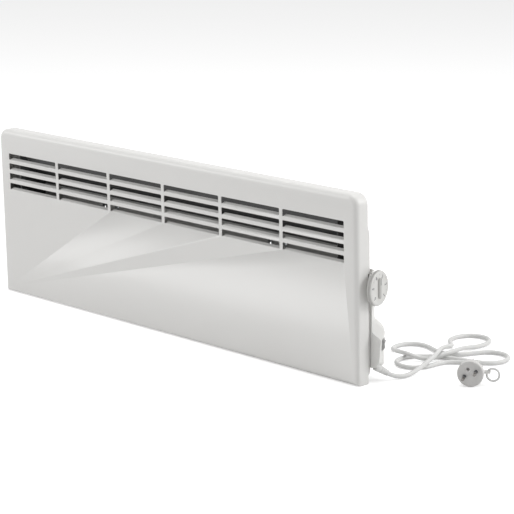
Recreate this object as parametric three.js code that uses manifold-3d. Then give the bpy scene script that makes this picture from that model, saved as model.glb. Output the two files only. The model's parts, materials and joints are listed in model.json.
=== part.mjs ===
// Wall panel convector heater with a side thermostat, a connection box and a mains cord on the floor.
// Millimetres, +Z up. X runs along the heater, its front faces -Y, and it stands on z = 0.
import * as THREE from "three";
import { NURBSCurve } from "three/addons/curves/NURBSCurve.js";
import { mergeVertices } from "three/addons/utils/BufferGeometryUtils.js";
import Module from "manifold-3d";

const wasm = await Module();
wasm.setup();

// ---- Driving sizes ----------------------------------------------------------------------------
const GAP = 0.3; // what touching pieces keep between them
const OVERRUN = 5; // how far a cutting tool runs past the face it cuts

// Front casing: one folded sheet with louvred outlets.
const CASE_WIDTH = 850;
const CASE_HEIGHT = 290;
const CASE_SHEET = 1;
const FOLD_RADIUS = 8;
const TOP_CORNER_RADIUS = 18;
const FLANGE_DEPTH = 23;
const RETURN_WIDTH = 7;
const BOTTOM_LIP_DEPTH = 14;
const LOUVRE_BAYS = 6;
const LOUVRE_ROWS = 4;
const LOUVRE_MULLION = 6.5;
const LOUVRE_SIDE_MARGIN = 26.25;
const LOUVRE_TOP_MARGIN = 41;
const LOUVRE_HEIGHT = 11.5;
const LOUVRE_PITCH = 17.3;
const LOUVRE_CORNER = 1.6;
const LIP_SHEET = 0.8;
const LIP_REACH = 6;
const LIP_RISE = 5;
const LIP_END_CLEARANCE = 1.5;

// Rear cover: a pan pressed in two steps.
const COVER_SHEET = 1;
const COVER_EDGE_INSET = 0.5;
const SHOULDER_SIDE_INSET = 2;
const SHOULDER_DEPTH = 29.5;
const SHOULDER_BOTTOM = 8;
const SHOULDER_TOP_DROP = 52;
const RIM_BOTTOM = 4;
const RIM_TOP_DROP = 32;
const BACK_DEPTH = 62;
const BACK_SIDE_INSET = 38;
const BACK_BOTTOM = 30;
const BACK_TOP_DROP = 75;
const PAN_CORNER_RADIUS = 12;
const INTAKE_SLOTS = 16;
const INTAKE_SLOT_LENGTH = 34;
const INTAKE_SLOT_WIDTH = 10;
const INTAKE_SLOT_PITCH = 46;
const SCREW_RADIUS = 3.6;
const SCREW_HEAD_HEIGHT = 2;
const SCREW_SHANK_RADIUS = 1.7;
const SCREW_LENGTH = 7;
const COVER_SCREWS = 4;
const COVER_SCREW_PITCH = 240;
const COVER_SCREW_DROP = 14;

// Grille in the open bottom.
const GRILLE_SHEET = 1;
const GRILLE_SEAT = 5;
const GRILLE_SLOTS = 18;
const GRILLE_SLOT_LENGTH = 32;
const GRILLE_SLOT_PITCH = 44;
const GRILLE_WEB = 1.2;

// Inside: end plates, heating element and air baffle.
const END_PLATE_SHEET = 1;
const END_PLATE_INSET = 47;
const ELEMENT_DEPTH = 33;
const ELEMENT_HEIGHT = 95;
const SHEATH_RADIUS = 5;
const SHEATH_STUB = 13;
const FIN_COUNT = 34;
const FIN_SHEET = 0.8;
const FIN_WIDTH = 40;
const FIN_HEIGHT = 54;
const FIN_CORNER = 9;
const FIN_END_CLEARANCE = 22;
const HUB_WALL = 1.4;
const BUSH_RADIUS = 9;
const BUSH_COLLAR_RADIUS = 12.5;
const BUSH_COLLAR_LENGTH = 4;
const BAFFLE_SHEET = 0.8;
const CUTOUT_RADIUS = 8;
const CUTOUT_LENGTH = 7;

// Right-hand control housing, thermostat and knob.
const KNOB_TILT = 12; // degrees that the knob's axis leans back from the heater's length
const KNOB_HEIGHT = 147;
const KNOB_AXIS_DEPTH = 34;
const KNOB_STANDOFF = 3.5;
const KNOB_RADIUS = 27;
const KNOB_THICKNESS = 9;
const KNOB_FLUTES = 24;
const KNOB_FLUTE_DEPTH = 0.7;
const KNOB_GAP = 0.6;
const GRIP_LENGTH = 38;
const GRIP_WIDTH = 8;
const GRIP_RISE = 2.2;
const SHAFT_RADIUS = 3;
const SHAFT_SOCKET_DEPTH = 6;
const BOSS_RADIUS = 20;
const BOSS_FOOT_RADIUS = 25;
const BOSS_DEPTH = 12;
const NECK_RADIUS = 7;
const NECK_DEPTH = 15;
const THERMOSTAT_WIDTH = 21;
const THERMOSTAT_HEIGHT = 34;
const THERMOSTAT_LENGTH = 18;
const HOUSING_TOP = 186;
const HOUSING_SPLIT = 92;
const HOUSING_WALL = 2.2;
const HOUSING_LEDGE = 3.2;
const NECK_REACH = 1.8;
const NECK_WAIST = 13;
const WAIST_DEPTH = 52;
const HOUSING_BACK = 61.5;

// Connection box with its switch, terminals and cord exit.
const BOX_REACH = 19.4;
const BOX_WAIST_REACH = 7.5;
const BOX_BOTTOM = 23.5;
const BOX_TOE_REACH = 9;
const BOX_TOE_HEIGHT = 25.5;
const BOX_KNEE_HEIGHT = 36.5;
const BOX_SHOULDER_HEIGHT = 70;
const BOX_BROW_HEIGHT = 80;
const BOX_WALL = 2;
const SWITCH_HEIGHT = 61;
const SWITCH_ALONG = 13;
const ROCKER_LENGTH = 14;
const ROCKER_WIDTH = 9;
const ROCKER_RISE = 2.4;
const ROCKER_VALLEY = 1.1;
const ROCKER_THROW = 14; // degrees between its two pressed positions
const ROCKER_PIVOT_DEPTH = 2.2;
const ROCKER_PIN_RADIUS = 1;
const SWITCH_BODY_DEPTH = 12;
const SWITCH_RIM = 1.6;
const TERMINAL_LENGTH = 26;
const TERMINAL_WIDTH = 12;
const TERMINAL_DEPTH = 9;

// Mains cord, its boot and its plug.
const CORD_DIAMETER = 7;
const CORD_LIFT = 0.25;
const CORD_SIDES = 10;
const CORD_STEPS = 88;
const BOOT_LENGTH = 20;
const BOOT_RADIUS = 6;
const BOOT_TIP_RADIUS = 4.4;
const PLUG_RADIUS = 20;
const PLUG_LENGTH = 36;
const PLUG_NECK_RADIUS = 8;
const PLUG_BOOT_LENGTH = 14;
const PIN_RADIUS = 2.4;
const PIN_LENGTH = 19;
const PIN_SPACING = 19;
const PIN_ROLL = 25; // degrees that the line through both pins is turned on the plug's face
const RING_RADIUS = 9.5;
const RING_WIRE_RADIUS = 1.7;
const RING_SEAT = -16.5;
const RING_DROP = 25; // degrees that the ring leans down from its lug
const EYE_LENGTH = 6;

// Wall fittings behind the heater.
const WALL_DISTANCE = 85;
const BRACKET_SHEET = 1.5;
const BRACKET_SPAN = 400;
const UPRIGHT_WIDTH = 34;
const UPRIGHT_BOTTOM = 66;
const UPRIGHT_TOP = 200;
const RAIL_BOTTOM = 118;
const RAIL_HEIGHT = 34;
const RAIL_HOLES = 5;
const RAIL_HOLE_PITCH = 70;
const RAIL_HOLE_LENGTH = 12;
const RAIL_HOLE_WIDTH = 6;
const HOOK_LOW = 88;
const HOOK_HIGH = 176;
const HOOK_RISE = 11;
const HOOK_LEG = 5;
const HOOK_THICKNESS = 3;
const LIFT_OFF = 13;
const SPACER_X = 300;
const SPACER_WIDTH = 24;
const SPACER_WALL = 3;

// ---- Sizes that follow ------------------------------------------------------------------------
const halfWidth = CASE_WIDTH / 2;
const innerDepth = FLANGE_DEPTH - CASE_SHEET;
const coverFront = FLANGE_DEPTH + GAP;
const coverBack = coverFront + COVER_SHEET;
const panBack = BACK_DEPTH - COVER_SHEET;
const louvreLength =
  (CASE_WIDTH - 2 * LOUVRE_SIDE_MARGIN - (LOUVRE_BAYS - 1) * LOUVRE_MULLION) / LOUVRE_BAYS;
const endPlateX = halfWidth - END_PLATE_INSET;
const hubRadius = SHEATH_RADIUS + GAP + HUB_WALL;
const cordRadius = CORD_DIAMETER / 2;
const boxInnerX = halfWidth - BACK_SIDE_INSET - 2;

// Stations of the pressed pan, front to back: half width, bottom, top and depth of each outline.
const panStations = [
  { y: coverBack, half: halfWidth - SHOULDER_SIDE_INSET, low: RIM_BOTTOM,
    high: CASE_HEIGHT - RIM_TOP_DROP },
  { y: SHOULDER_DEPTH, half: halfWidth - SHOULDER_SIDE_INSET, low: SHOULDER_BOTTOM,
    high: CASE_HEIGHT - SHOULDER_TOP_DROP },
  { y: BACK_DEPTH, half: halfWidth - BACK_SIDE_INSET, low: BACK_BOTTOM,
    high: CASE_HEIGHT - BACK_TOP_DROP },
];

// ---- Solids: three.js makes the shapes, manifold-3d joins and cuts them ------------------------
function solid(geometry) {
  const bare = geometry.index ? geometry.toNonIndexed() : geometry.clone();
  bare.deleteAttribute("normal");
  bare.deleteAttribute("uv");
  const merged = mergeVertices(bare, 1e-4);
  return new wasm.Manifold(
    new wasm.Mesh({
      numProp: 3,
      vertProperties: merged.attributes.position.array,
      triVerts: new Uint32Array(merged.index.array),
    }),
  );
}

function geometryOf(body) {
  const mesh = body.getMesh();
  const positions = new Float32Array(mesh.numVert * 3);
  for (let i = 0; i < mesh.numVert; i++)
    positions.set(mesh.vertProperties.subarray(i * mesh.numProp, i * mesh.numProp + 3), i * 3);
  const geometry = new THREE.BufferGeometry()
    .setAttribute("position", new THREE.BufferAttribute(positions, 3))
    .setIndex(new THREE.BufferAttribute(new Uint32Array(mesh.triVerts), 1))
    .toNonIndexed();
  geometry.computeVertexNormals();
  return geometry;
}

const joined = (first, ...others) => geometryOf(others.reduce((a, b) => a.add(solid(b)), solid(first)));
const cut = (first, ...tools) => geometryOf(tools.reduce((a, b) => a.subtract(solid(b)), solid(first)));
const common = (first, second) => geometryOf(solid(first).intersect(solid(second)));

// ---- Outlines and sweeps ------------------------------------------------------------------------
const shapeOf = (points) => new THREE.Shape(points.map(([u, v]) => new THREE.Vector2(u, v)));

// A rectangle whose four corners have their own radii: bottom left, bottom right, top right, top left.
function rectangle(left, bottom, right, top, radii = 0) {
  const [a, b, c, d] = Array.isArray(radii) ? radii : [radii, radii, radii, radii];
  const shape = new THREE.Shape();
  shape.moveTo(left + a, bottom);
  shape.lineTo(right - b, bottom);
  if (b) shape.absarc(right - b, bottom + b, b, -Math.PI / 2, 0);
  shape.lineTo(right, top - c);
  if (c) shape.absarc(right - c, top - c, c, 0, Math.PI / 2);
  shape.lineTo(left + d, top);
  if (d) shape.absarc(left + d, top - d, d, Math.PI / 2, Math.PI);
  shape.lineTo(left, bottom + a);
  if (a) shape.absarc(left + a, bottom + a, a, Math.PI, 1.5 * Math.PI);
  return shape;
}

const upX = new THREE.Vector3(1, 0, 0);
const upY = new THREE.Vector3(0, 1, 0);
const upZ = new THREE.Vector3(0, 0, 1);
const extruded = (shape, depth, curveSegments) =>
  new THREE.ExtrudeGeometry(shape, { depth, curveSegments, bevelEnabled: false });

// Prisms along X from a (y, z) outline, along Y from an (x, z) outline and along Z from an (x, y) one.
const prismX = (shape, x0, x1, curveSegments = 4) =>
  extruded(shape, x1 - x0, curveSegments)
    .applyMatrix4(new THREE.Matrix4().makeBasis(upY, upZ, upX))
    .translate(x0, 0, 0);
const prismY = (shape, y0, y1, curveSegments = 4) =>
  extruded(shape, y1 - y0, curveSegments).rotateX(Math.PI / 2).translate(0, y1, 0);
const prismZ = (shape, z0, z1, curveSegments = 4) =>
  extruded(shape, z1 - z0, curveSegments).translate(0, 0, z0);
const block = (x0, x1, y0, y1, z0, z1) =>
  new THREE.BoxGeometry(x1 - x0, y1 - y0, z1 - z0)
    .translate((x0 + x1) / 2, (y0 + y1) / 2, (z0 + z1) / 2);

// A body turned about Z from [radius, height] pairs that run up its outside, axis to axis.
const turned = (profile, sides = 24) =>
  new THREE.LatheGeometry(profile.map(([r, h]) => new THREE.Vector2(r, h)), sides)
    .rotateX(Math.PI / 2);
const rod = (radius, z0, z1, sides = 16) => turned([[0, z0], [radius, z0], [radius, z1], [0, z1]], sides);

// The outline of a bent strip of sheet whose middle follows the given points.
function strip(points, thickness) {
  const middle = points.map(([u, v]) => new THREE.Vector2(u, v));
  const normals = middle.slice(1).map((p, i) => {
    const along = p.clone().sub(middle[i]).normalize();
    return new THREE.Vector2(-along.y, along.x);
  });
  const offset = middle.map((p, i) => {
    const before = normals[Math.max(i - 1, 0)];
    const after = normals[Math.min(i, normals.length - 1)];
    const mitre = before.clone().add(after);
    return mitre.multiplyScalar(thickness / (2 * mitre.dot(before)));
  });
  const left = middle.map((p, i) => p.clone().add(offset[i]));
  const right = middle.map((p, i) => p.clone().sub(offset[i]));
  return new THREE.Shape([...right, ...left.reverse()]);
}

// A closed body through outlines of equal point count, each [depth y, points (x, z)], front to back.
function lofted(rings) {
  const count = rings[0].points.length;
  const positions = rings.flatMap(({ y, points }) => points.flatMap((p) => [p.x, y, p.y]));
  const index = [];
  for (let r = 0; r + 1 < rings.length; r++)
    for (let i = 0; i < count; i++) {
      const a = r * count + i;
      const b = r * count + ((i + 1) % count);
      index.push(a, a + count, b, b, a + count, b + count);
    }
  for (const [a, b, c] of THREE.ShapeUtils.triangulateShape(rings[0].points, []))
    index.push(a, b, c);
  const last = (rings.length - 1) * count;
  for (const [a, b, c] of THREE.ShapeUtils.triangulateShape(rings.at(-1).points, []))
    index.push(last + a, last + c, last + b);
  return new THREE.BufferGeometry()
    .setAttribute("position", new THREE.BufferAttribute(new Float32Array(positions), 3))
    .setIndex(index);
}

// ---- Front casing -------------------------------------------------------------------------------
// The tray's outer or inner skin: a rounded outline whose front edge is rolled over by the fold.
function traySkin(inset, back) {
  const fold = FOLD_RADIUS - inset;
  const corner = TOP_CORNER_RADIUS - FOLD_RADIUS;
  const core = rectangle(-halfWidth + FOLD_RADIUS, FOLD_RADIUS, halfWidth - FOLD_RADIUS,
    CASE_HEIGHT - FOLD_RADIUS, [0, 0, corner, corner]);
  const rolled = new THREE.ExtrudeGeometry(core, {
    depth: back - FOLD_RADIUS,
    curveSegments: 6,
    bevelThickness: fold,
    bevelSize: fold,
    bevelSegments: 5,
  });
  return rolled.rotateX(Math.PI / 2).translate(0, back, 0);
}

const louvreLeft = (bay) => -halfWidth + LOUVRE_SIDE_MARGIN + bay * (louvreLength + LOUVRE_MULLION);
const louvreFoot = (row) => CASE_HEIGHT - LOUVRE_TOP_MARGIN - LOUVRE_HEIGHT - row * LOUVRE_PITCH;

function louvreOutlines() {
  const outlines = [];
  for (let bay = 0; bay < LOUVRE_BAYS; bay++)
    for (let row = 0; row < LOUVRE_ROWS; row++)
      outlines.push(rectangle(louvreLeft(bay), louvreFoot(row), louvreLeft(bay) + louvreLength,
        louvreFoot(row) + LOUVRE_HEIGHT, LOUVRE_CORNER));
  return outlines;
}

// The lip left by each slot: pushed in from the lower edge, so it sheds the warm air outwards.
function louvreLips() {
  const lips = [];
  const middle = CASE_SHEET / 2;
  for (let bay = 0; bay < LOUVRE_BAYS; bay++)
    for (let row = 0; row < LOUVRE_ROWS; row++) {
      const foot = louvreFoot(row);
      const profile = strip([[middle, foot - 1.5], [middle, foot], [middle + 1.5, foot + 1],
        [middle + LIP_REACH, foot + LIP_RISE]], LIP_SHEET);
      const left = louvreLeft(bay) + LIP_END_CLEARANCE;
      lips.push(prismX(profile, left, left + louvreLength - 2 * LIP_END_CLEARANCE));
    }
  return lips;
}

function frontCasing() {
  const past = FLANGE_DEPTH + 2 * FOLD_RADIUS;
  const open = RETURN_WIDTH;
  const tray = cut(
    traySkin(0, past),
    block(-halfWidth - OVERRUN, halfWidth + OVERRUN, FLANGE_DEPTH, 2 * past + OVERRUN,
      -OVERRUN, CASE_HEIGHT + OVERRUN),
    cut(traySkin(CASE_SHEET, past), block(-halfWidth - OVERRUN, halfWidth + OVERRUN, innerDepth,
      2 * past + OVERRUN, -OVERRUN, CASE_HEIGHT + OVERRUN)),
    prismY(rectangle(-halfWidth + open, -OVERRUN, halfWidth - open, CASE_HEIGHT - open,
      [0, 0, open, open]), innerDepth - OVERRUN, FLANGE_DEPTH + OVERRUN),
    block(-halfWidth + CASE_SHEET, halfWidth - CASE_SHEET, BOTTOM_LIP_DEPTH, FLANGE_DEPTH + OVERRUN,
      -OVERRUN, open),
    prismY(louvreOutlines(), -OVERRUN, CASE_SHEET + OVERRUN / 2, 1),
  );
  return joined(tray, ...louvreLips());
}

// ---- Rear cover ---------------------------------------------------------------------------------
const panOutline = ({ half, low, high }, inset) =>
  rectangle(-half + inset, low + inset, half - inset, high - inset, PAN_CORNER_RADIUS - inset)
    .getPoints(3)
    .slice(1);

// The pan's outer skin, or with an inset its inner one, which lies a sheet further to the front.
function panSkin(inset) {
  const rings = panStations.map((station) =>
    ({ y: station.y - 0.8 * inset, points: panOutline(station, inset) }));
  rings.at(-1).y = BACK_DEPTH - inset;
  const mouth = inset ? coverFront - OVERRUN : coverFront + COVER_SHEET / 2;
  return lofted([{ y: mouth, points: rings[0].points }, ...rings]);
}

const uprightSides = [-1, 1].flatMap((side) =>
  [-1, 1].map((edge) =>
    side * BRACKET_SPAN / 2 + edge * (UPRIGHT_WIDTH / 2 - BRACKET_SHEET / 2)));

function hookSlots() {
  const half = BRACKET_SHEET / 2 + 1.5;
  return uprightSides.flatMap((x) =>
    [HOOK_LOW, HOOK_HIGH].map((z) =>
      rectangle(x - half, z - LIFT_OFF - HOOK_THICKNESS - 1.5, x + half, z + GAP, 0)));
}

function intakeSlots() {
  const slots = [];
  const middle = (SHOULDER_DEPTH + BACK_DEPTH) / 2;
  for (let i = 0; i < INTAKE_SLOTS; i++) {
    const x = (i - (INTAKE_SLOTS - 1) / 2) * INTAKE_SLOT_PITCH;
    if (Math.abs(Math.abs(x) - SPACER_X) < (SPACER_WIDTH + INTAKE_SLOT_LENGTH) / 2) continue;
    slots.push(rectangle(x - INTAKE_SLOT_LENGTH / 2, middle - INTAKE_SLOT_WIDTH / 2,
      x + INTAKE_SLOT_LENGTH / 2, middle + INTAKE_SLOT_WIDTH / 2, INTAKE_SLOT_WIDTH / 2));
  }
  return slots;
}

const coverScrewX = (i) => (i - (COVER_SCREWS - 1) / 2) * COVER_SCREW_PITCH;
const coverScrewZ = CASE_HEIGHT - COVER_SCREW_DROP;
const LEAD_HOLE = { z: 78, radius: 7 };

function rearCover() {
  const corner = TOP_CORNER_RADIUS - COVER_EDGE_INSET;
  const edge = halfWidth - COVER_EDGE_INSET;
  const plate = prismY(rectangle(-edge, CASE_SHEET, edge, CASE_HEIGHT - COVER_EDGE_INSET,
    [0, 0, corner, corner]), coverFront, coverBack, 6);
  const thermostatWindow = block(halfWidth - 29, halfWidth - 1, coverBack, KNOB_AXIS_DEPTH + 12,
    KNOB_HEIGHT - THERMOSTAT_HEIGHT / 2 - 4, KNOB_HEIGHT + THERMOSTAT_HEIGHT / 2 + 4);
  const leadHole = rod(LEAD_HOLE.radius, 0, 60, 12)
    .rotateY(Math.PI / 2)
    .translate(halfWidth - 50, 45, LEAD_HOLE.z);
  const screwHoles = Array.from({ length: COVER_SCREWS }, (_, i) =>
    rod(SCREW_SHANK_RADIUS + GAP, -OVERRUN, OVERRUN, 10)
      .rotateX(Math.PI / 2)
      .translate(coverScrewX(i), coverFront, coverScrewZ));
  return cut(
    joined(plate, panSkin(0)),
    panSkin(COVER_SHEET),
    prismY(hookSlots(), panBack - OVERRUN, BACK_DEPTH + OVERRUN),
    prismZ(intakeSlots(), -OVERRUN, BACK_BOTTOM + OVERRUN, 2),
    thermostatWindow,
    leadHole,
    ...screwHoles,
  );
}

// A screw along Y: its head outside, towards +Y, and its shank towards the front.
function backScrew(length = SCREW_LENGTH) {
  return turned([[0, -length], [SCREW_SHANK_RADIUS, -length], [SCREW_SHANK_RADIUS, 0],
    [SCREW_RADIUS, 0], [SCREW_RADIUS, SCREW_HEAD_HEIGHT * 0.5],
    [SCREW_RADIUS * 0.7, SCREW_HEAD_HEIGHT], [0, SCREW_HEAD_HEIGHT]], 12).rotateX(-Math.PI / 2);
}

// ---- Bottom grille ------------------------------------------------------------------------------
function inletGrille() {
  const half = halfWidth - CASE_SHEET - GAP;
  const z0 = CASE_SHEET + GAP;
  const front = BOTTOM_LIP_DEPTH - GRILLE_SEAT;
  const back = coverFront - GAP;
  const web = GRILLE_WEB;
  const slots = Array.from({ length: GRILLE_SLOTS }, (_, i) => {
    const x = (i - (GRILLE_SLOTS - 1) / 2) * GRILLE_SLOT_PITCH;
    const width = back - web - BOTTOM_LIP_DEPTH - web;
    return rectangle(x - GRILLE_SLOT_LENGTH / 2, BOTTOM_LIP_DEPTH + web, x + GRILLE_SLOT_LENGTH / 2,
      BOTTOM_LIP_DEPTH + web + width, width / 2 - 0.01);
  });
  const profile = strip([[front + GRILLE_SHEET / 2, z0 + 6], [front + GRILLE_SHEET / 2, z0 + 0.5],
    [back, z0 + 0.5]], GRILLE_SHEET);
  return cut(prismX(profile, -half, half), prismZ(slots, -OVERRUN, z0 + 3, 2));
}

// ---- Air side: end plates, element, baffle ------------------------------------------------------
// The air chamber's cross-section (y, z) at the end plates, a gap inside the casing and the cover.
function chamberSection(inset) {
  const shoulder = panStations[1];
  const back = panStations[2];
  const front = CASE_SHEET + inset;
  const rear = panBack - inset;
  const rim = coverFront;
  const shoulderDepth = shoulder.y - 0.8 * COVER_SHEET - 1.3 * inset;
  const wall = COVER_SHEET + 1.3 * inset;
  const lipClear = CASE_SHEET + LIP_REACH + LIP_SHEET + inset;
  const lipFoot = louvreFoot(LOUVRE_ROWS - 1) - 4;
  return shapeOf([
    [front, CASE_SHEET + 7 + inset], [BOTTOM_LIP_DEPTH - GRILLE_SEAT + GRILLE_SHEET + 1, CASE_SHEET + 9],
    [rim, shoulder.low + wall], [shoulderDepth, shoulder.low + wall], [rear, back.low + wall],
    [rear, back.high - wall], [shoulderDepth, shoulder.high - wall],
    [coverFront - inset, panStations[0].high - wall - 1], [innerDepth - inset, panStations[0].high - wall],
    [innerDepth - inset, CASE_HEIGHT - FOLD_RADIUS - inset],
    [lipClear + 2, CASE_HEIGHT - CASE_SHEET - inset], [lipClear, CASE_HEIGHT - CASE_SHEET - inset - 2],
    [lipClear, lipFoot], [front, lipFoot - 3],
  ]);
}

const alongX = (geometry, x, y, z) => geometry.rotateY(Math.PI / 2).translate(x, y, z);

function endPlate(side) {
  const x = side * endPlateX;
  const hole = alongX(rod(BUSH_RADIUS + GAP, -OVERRUN, OVERRUN, 16), x, ELEMENT_DEPTH, ELEMENT_HEIGHT);
  return cut(prismX(chamberSection(GAP), x - END_PLATE_SHEET / 2, x + END_PLATE_SHEET / 2), hole);
}

// A ceramic bush: a collar each side of the end plate, carrying the sheath in its bore.
function ceramicBush(side) {
  const bore = SHEATH_RADIUS + GAP;
  const seat = END_PLATE_SHEET / 2 + GAP;
  const end = seat + BUSH_COLLAR_LENGTH;
  const body = turned([[0, -end], [BUSH_COLLAR_RADIUS, -end], [BUSH_COLLAR_RADIUS, -seat],
    [BUSH_RADIUS, -seat], [BUSH_RADIUS, seat], [BUSH_RADIUS + 2, seat], [BUSH_RADIUS + 2, end],
    [0, end]], 16);
  return alongX(cut(body, rod(bore, -end - 1, end + 1, 12)), side * endPlateX, ELEMENT_DEPTH,
    ELEMENT_HEIGHT);
}

function elementSheath() {
  const end = endPlateX + SHEATH_STUB;
  const body = turned([[0, -end], [1.6, -end], [1.6, -end + 5], [SHEATH_RADIUS, -end + 6],
    [SHEATH_RADIUS, end - 6], [1.6, end - 5], [1.6, end], [0, end]], 12);
  return alongX(body, 0, ELEMENT_DEPTH, ELEMENT_HEIGHT);
}

// Pressed fins on one hub tube, each a rounded plate with waisted sides.
function elementFins() {
  const reach = endPlateX - FIN_END_CLEARANCE;
  const pitch = (2 * reach - FIN_SHEET) / (FIN_COUNT - 1);
  const [w, h, c] = [FIN_WIDTH / 2, FIN_HEIGHT / 2, FIN_CORNER];
  const outline = shapeOf([[-w + c, -h], [w - c, -h], [w, -h + c], [w - c / 2, 0], [w, h - c],
    [w - c, h], [-w + c, h], [-w, h - c], [-w + c / 2, 0], [-w, -h + c]]);
  const fins = Array.from({ length: FIN_COUNT }, (_, i) =>
    prismX(outline, -reach + i * pitch, -reach + i * pitch + FIN_SHEET)
      .translate(0, ELEMENT_DEPTH, ELEMENT_HEIGHT));
  const hub = alongX(rod(hubRadius, -reach - 4, reach + 4, 8), 0, ELEMENT_DEPTH, ELEMENT_HEIGHT);
  const bore = alongX(rod(SHEATH_RADIUS + GAP + 0.2, -reach - 9, reach + 9, 8), 0, ELEMENT_DEPTH,
    ELEMENT_HEIGHT);
  return cut(joined(hub, ...fins), bore);
}

function airBaffle() {
  const end = endPlateX - END_PLATE_SHEET / 2 - GAP;
  const back = panBack - GAP - BAFFLE_SHEET / 2;
  const top = CASE_HEIGHT - CASE_SHEET;
  const profile = strip([[back, HOOK_HIGH + HOOK_RISE + 4], [back, CASE_HEIGHT - BACK_TOP_DROP - 12],
    [SHOULDER_DEPTH - 3, CASE_HEIGHT - SHOULDER_TOP_DROP - 14], [innerDepth - 3, top - 34],
    [innerDepth - 11, top - 9]], BAFFLE_SHEET);
  return prismX(profile, -end, end);
}

// A snap-disc cut-out screwed flat on the right end plate, above the element.
function thermalCutout() {
  const seat = endPlateX - END_PLATE_SHEET / 2 - GAP;
  const flange = block(seat - 1, seat, ELEMENT_DEPTH - 13, ELEMENT_DEPTH + 13,
    ELEMENT_HEIGHT + 49, ELEMENT_HEIGHT + 61);
  const can = alongX(rod(CUTOUT_RADIUS, -CUTOUT_LENGTH, 0, 14), seat, ELEMENT_DEPTH, ELEMENT_HEIGHT + 55);
  return joined(flange, can);
}

// ---- Control side -------------------------------------------------------------------------------
// Room that the casing and the pan take, seen from above, with a gap all round.
const panSlope = { side: panStations[1].half, front: SHOULDER_DEPTH, back: BACK_DEPTH,
  backSide: panStations[2].half };
const keepOut = () => {
  const wallGap = GAP * 1.4;
  return prismZ(shapeOf([[boxInnerX - 40, -OVERRUN], [halfWidth + GAP, -OVERRUN],
    [halfWidth + GAP, SHOULDER_DEPTH + GAP], [panSlope.side + wallGap, SHOULDER_DEPTH + GAP],
    [panSlope.backSide + wallGap, BACK_DEPTH + GAP], [boxInnerX - 40, BACK_DEPTH + GAP]]),
  -OVERRUN, CASE_HEIGHT);
};

// The housing's plan view; wall is 0 for the outside and the wall thickness for the hollow.
function neckOutline(wall) {
  const front = SHOULDER_DEPTH + GAP;
  return shapeOf([
    [boxInnerX - (wall ? 30 : 0), front + wall], [halfWidth + NECK_REACH - wall * 1.3, front + wall],
    [halfWidth - NECK_WAIST - wall * 1.2, WAIST_DEPTH - wall * 0.2],
    [halfWidth - NECK_WAIST - 7 - wall * 0.8, HOUSING_BACK - 3 - wall * 0.7],
    [halfWidth - NECK_WAIST - 13 - wall * 0.4, HOUSING_BACK - wall],
    [boxInnerX - (wall ? 30 : 0), HOUSING_BACK - wall],
  ]);
}

function boxOutline(wall) {
  const front = SHOULDER_DEPTH + GAP;
  return shapeOf([
    [boxInnerX - (wall ? 30 : 0), front + wall], [halfWidth + BOX_REACH - wall * 1.3, front + wall],
    [halfWidth + BOX_WAIST_REACH - wall * 1.2, WAIST_DEPTH - wall * 0.2],
    [halfWidth - 2 - wall * 0.7, HOUSING_BACK - 2 - wall * 0.7],
    [halfWidth - 10 - wall * 0.3, HOUSING_BACK - wall],
    [boxInnerX - (wall ? 30 : 0), HOUSING_BACK - wall],
  ]);
}

// The box's front view: a square shoulder above, a tapered toe below and a sloping brow.
function boxElevation(wall) {
  const brow = (BOX_BROW_HEIGHT - BOX_SHOULDER_HEIGHT) / BOX_REACH;
  const left = boxInnerX - (wall ? 30 : 0);
  const top = Math.min(HOUSING_SPLIT - GAP, BOX_BROW_HEIGHT + brow * (halfWidth - boxInnerX)) - wall;
  return shapeOf([
    [left, BOX_BOTTOM + wall], [halfWidth - 1, BOX_BOTTOM + wall],
    [halfWidth + BOX_TOE_REACH - wall * 0.5, BOX_TOE_HEIGHT + wall],
    [halfWidth + BOX_REACH - wall, BOX_KNEE_HEIGHT + wall * 0.6],
    [halfWidth + BOX_REACH - wall, BOX_SHOULDER_HEIGHT - wall * 0.8],
    [halfWidth - (top - BOX_BROW_HEIGHT + wall) / brow, top],
    [left, top],
  ]);
}

const tilt = THREE.MathUtils.degToRad(KNOB_TILT);
const knobAxis = new THREE.Vector3(Math.cos(tilt), Math.sin(tilt), 0);
const knobFrame = new THREE.Matrix4()
  .makeBasis(new THREE.Vector3(-knobAxis.y, knobAxis.x, 0), upZ, knobAxis)
  .setPosition(halfWidth + KNOB_STANDOFF, KNOB_AXIS_DEPTH, KNOB_HEIGHT);
const onKnobAxis = (geometry) => geometry.applyMatrix4(knobFrame);

function controlHousing() {
  const foot = HOUSING_SPLIT;
  const shell = cut(prismZ(neckOutline(0), foot, HOUSING_TOP),
    prismZ(neckOutline(HOUSING_WALL), foot + HOUSING_WALL, HOUSING_TOP - HOUSING_WALL));
  const bevel = prismX(shapeOf([[0, HOUSING_TOP - 2], [BACK_DEPTH + 20, HOUSING_TOP - 24],
    [BACK_DEPTH + 20, HOUSING_TOP + 20], [0, HOUSING_TOP + 20]]), halfWidth - 60, halfWidth + 30);
  const boss = onKnobAxis(turned([[0, -BOSS_DEPTH], [BOSS_FOOT_RADIUS, -BOSS_DEPTH],
    [BOSS_FOOT_RADIUS, -BOSS_DEPTH * 0.6], [BOSS_RADIUS + 1, -KNOB_GAP - 1],
    [BOSS_RADIUS, -KNOB_GAP], [0, -KNOB_GAP]], 28));
  const neck = onKnobAxis(rod(NECK_RADIUS, -NECK_DEPTH, -2, 16));
  const bore = onKnobAxis(rod(SHAFT_RADIUS + GAP + 0.1, -NECK_DEPTH - OVERRUN, OVERRUN, 14));
  const hollow = onKnobAxis(turned([[NECK_RADIUS, -BOSS_DEPTH - 1], [BOSS_RADIUS - 3, -BOSS_DEPTH - 1],
    [BOSS_RADIUS - 3, -KNOB_GAP - 3], [NECK_RADIUS, -KNOB_GAP - 3], [NECK_RADIUS, -BOSS_DEPTH - 1]], 20));
  const room = keepOut();
  const outside = cut(joined(cut(shell, bevel), boss), room);
  return cut(joined(cut(outside, hollow), neck), bore);
}

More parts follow.
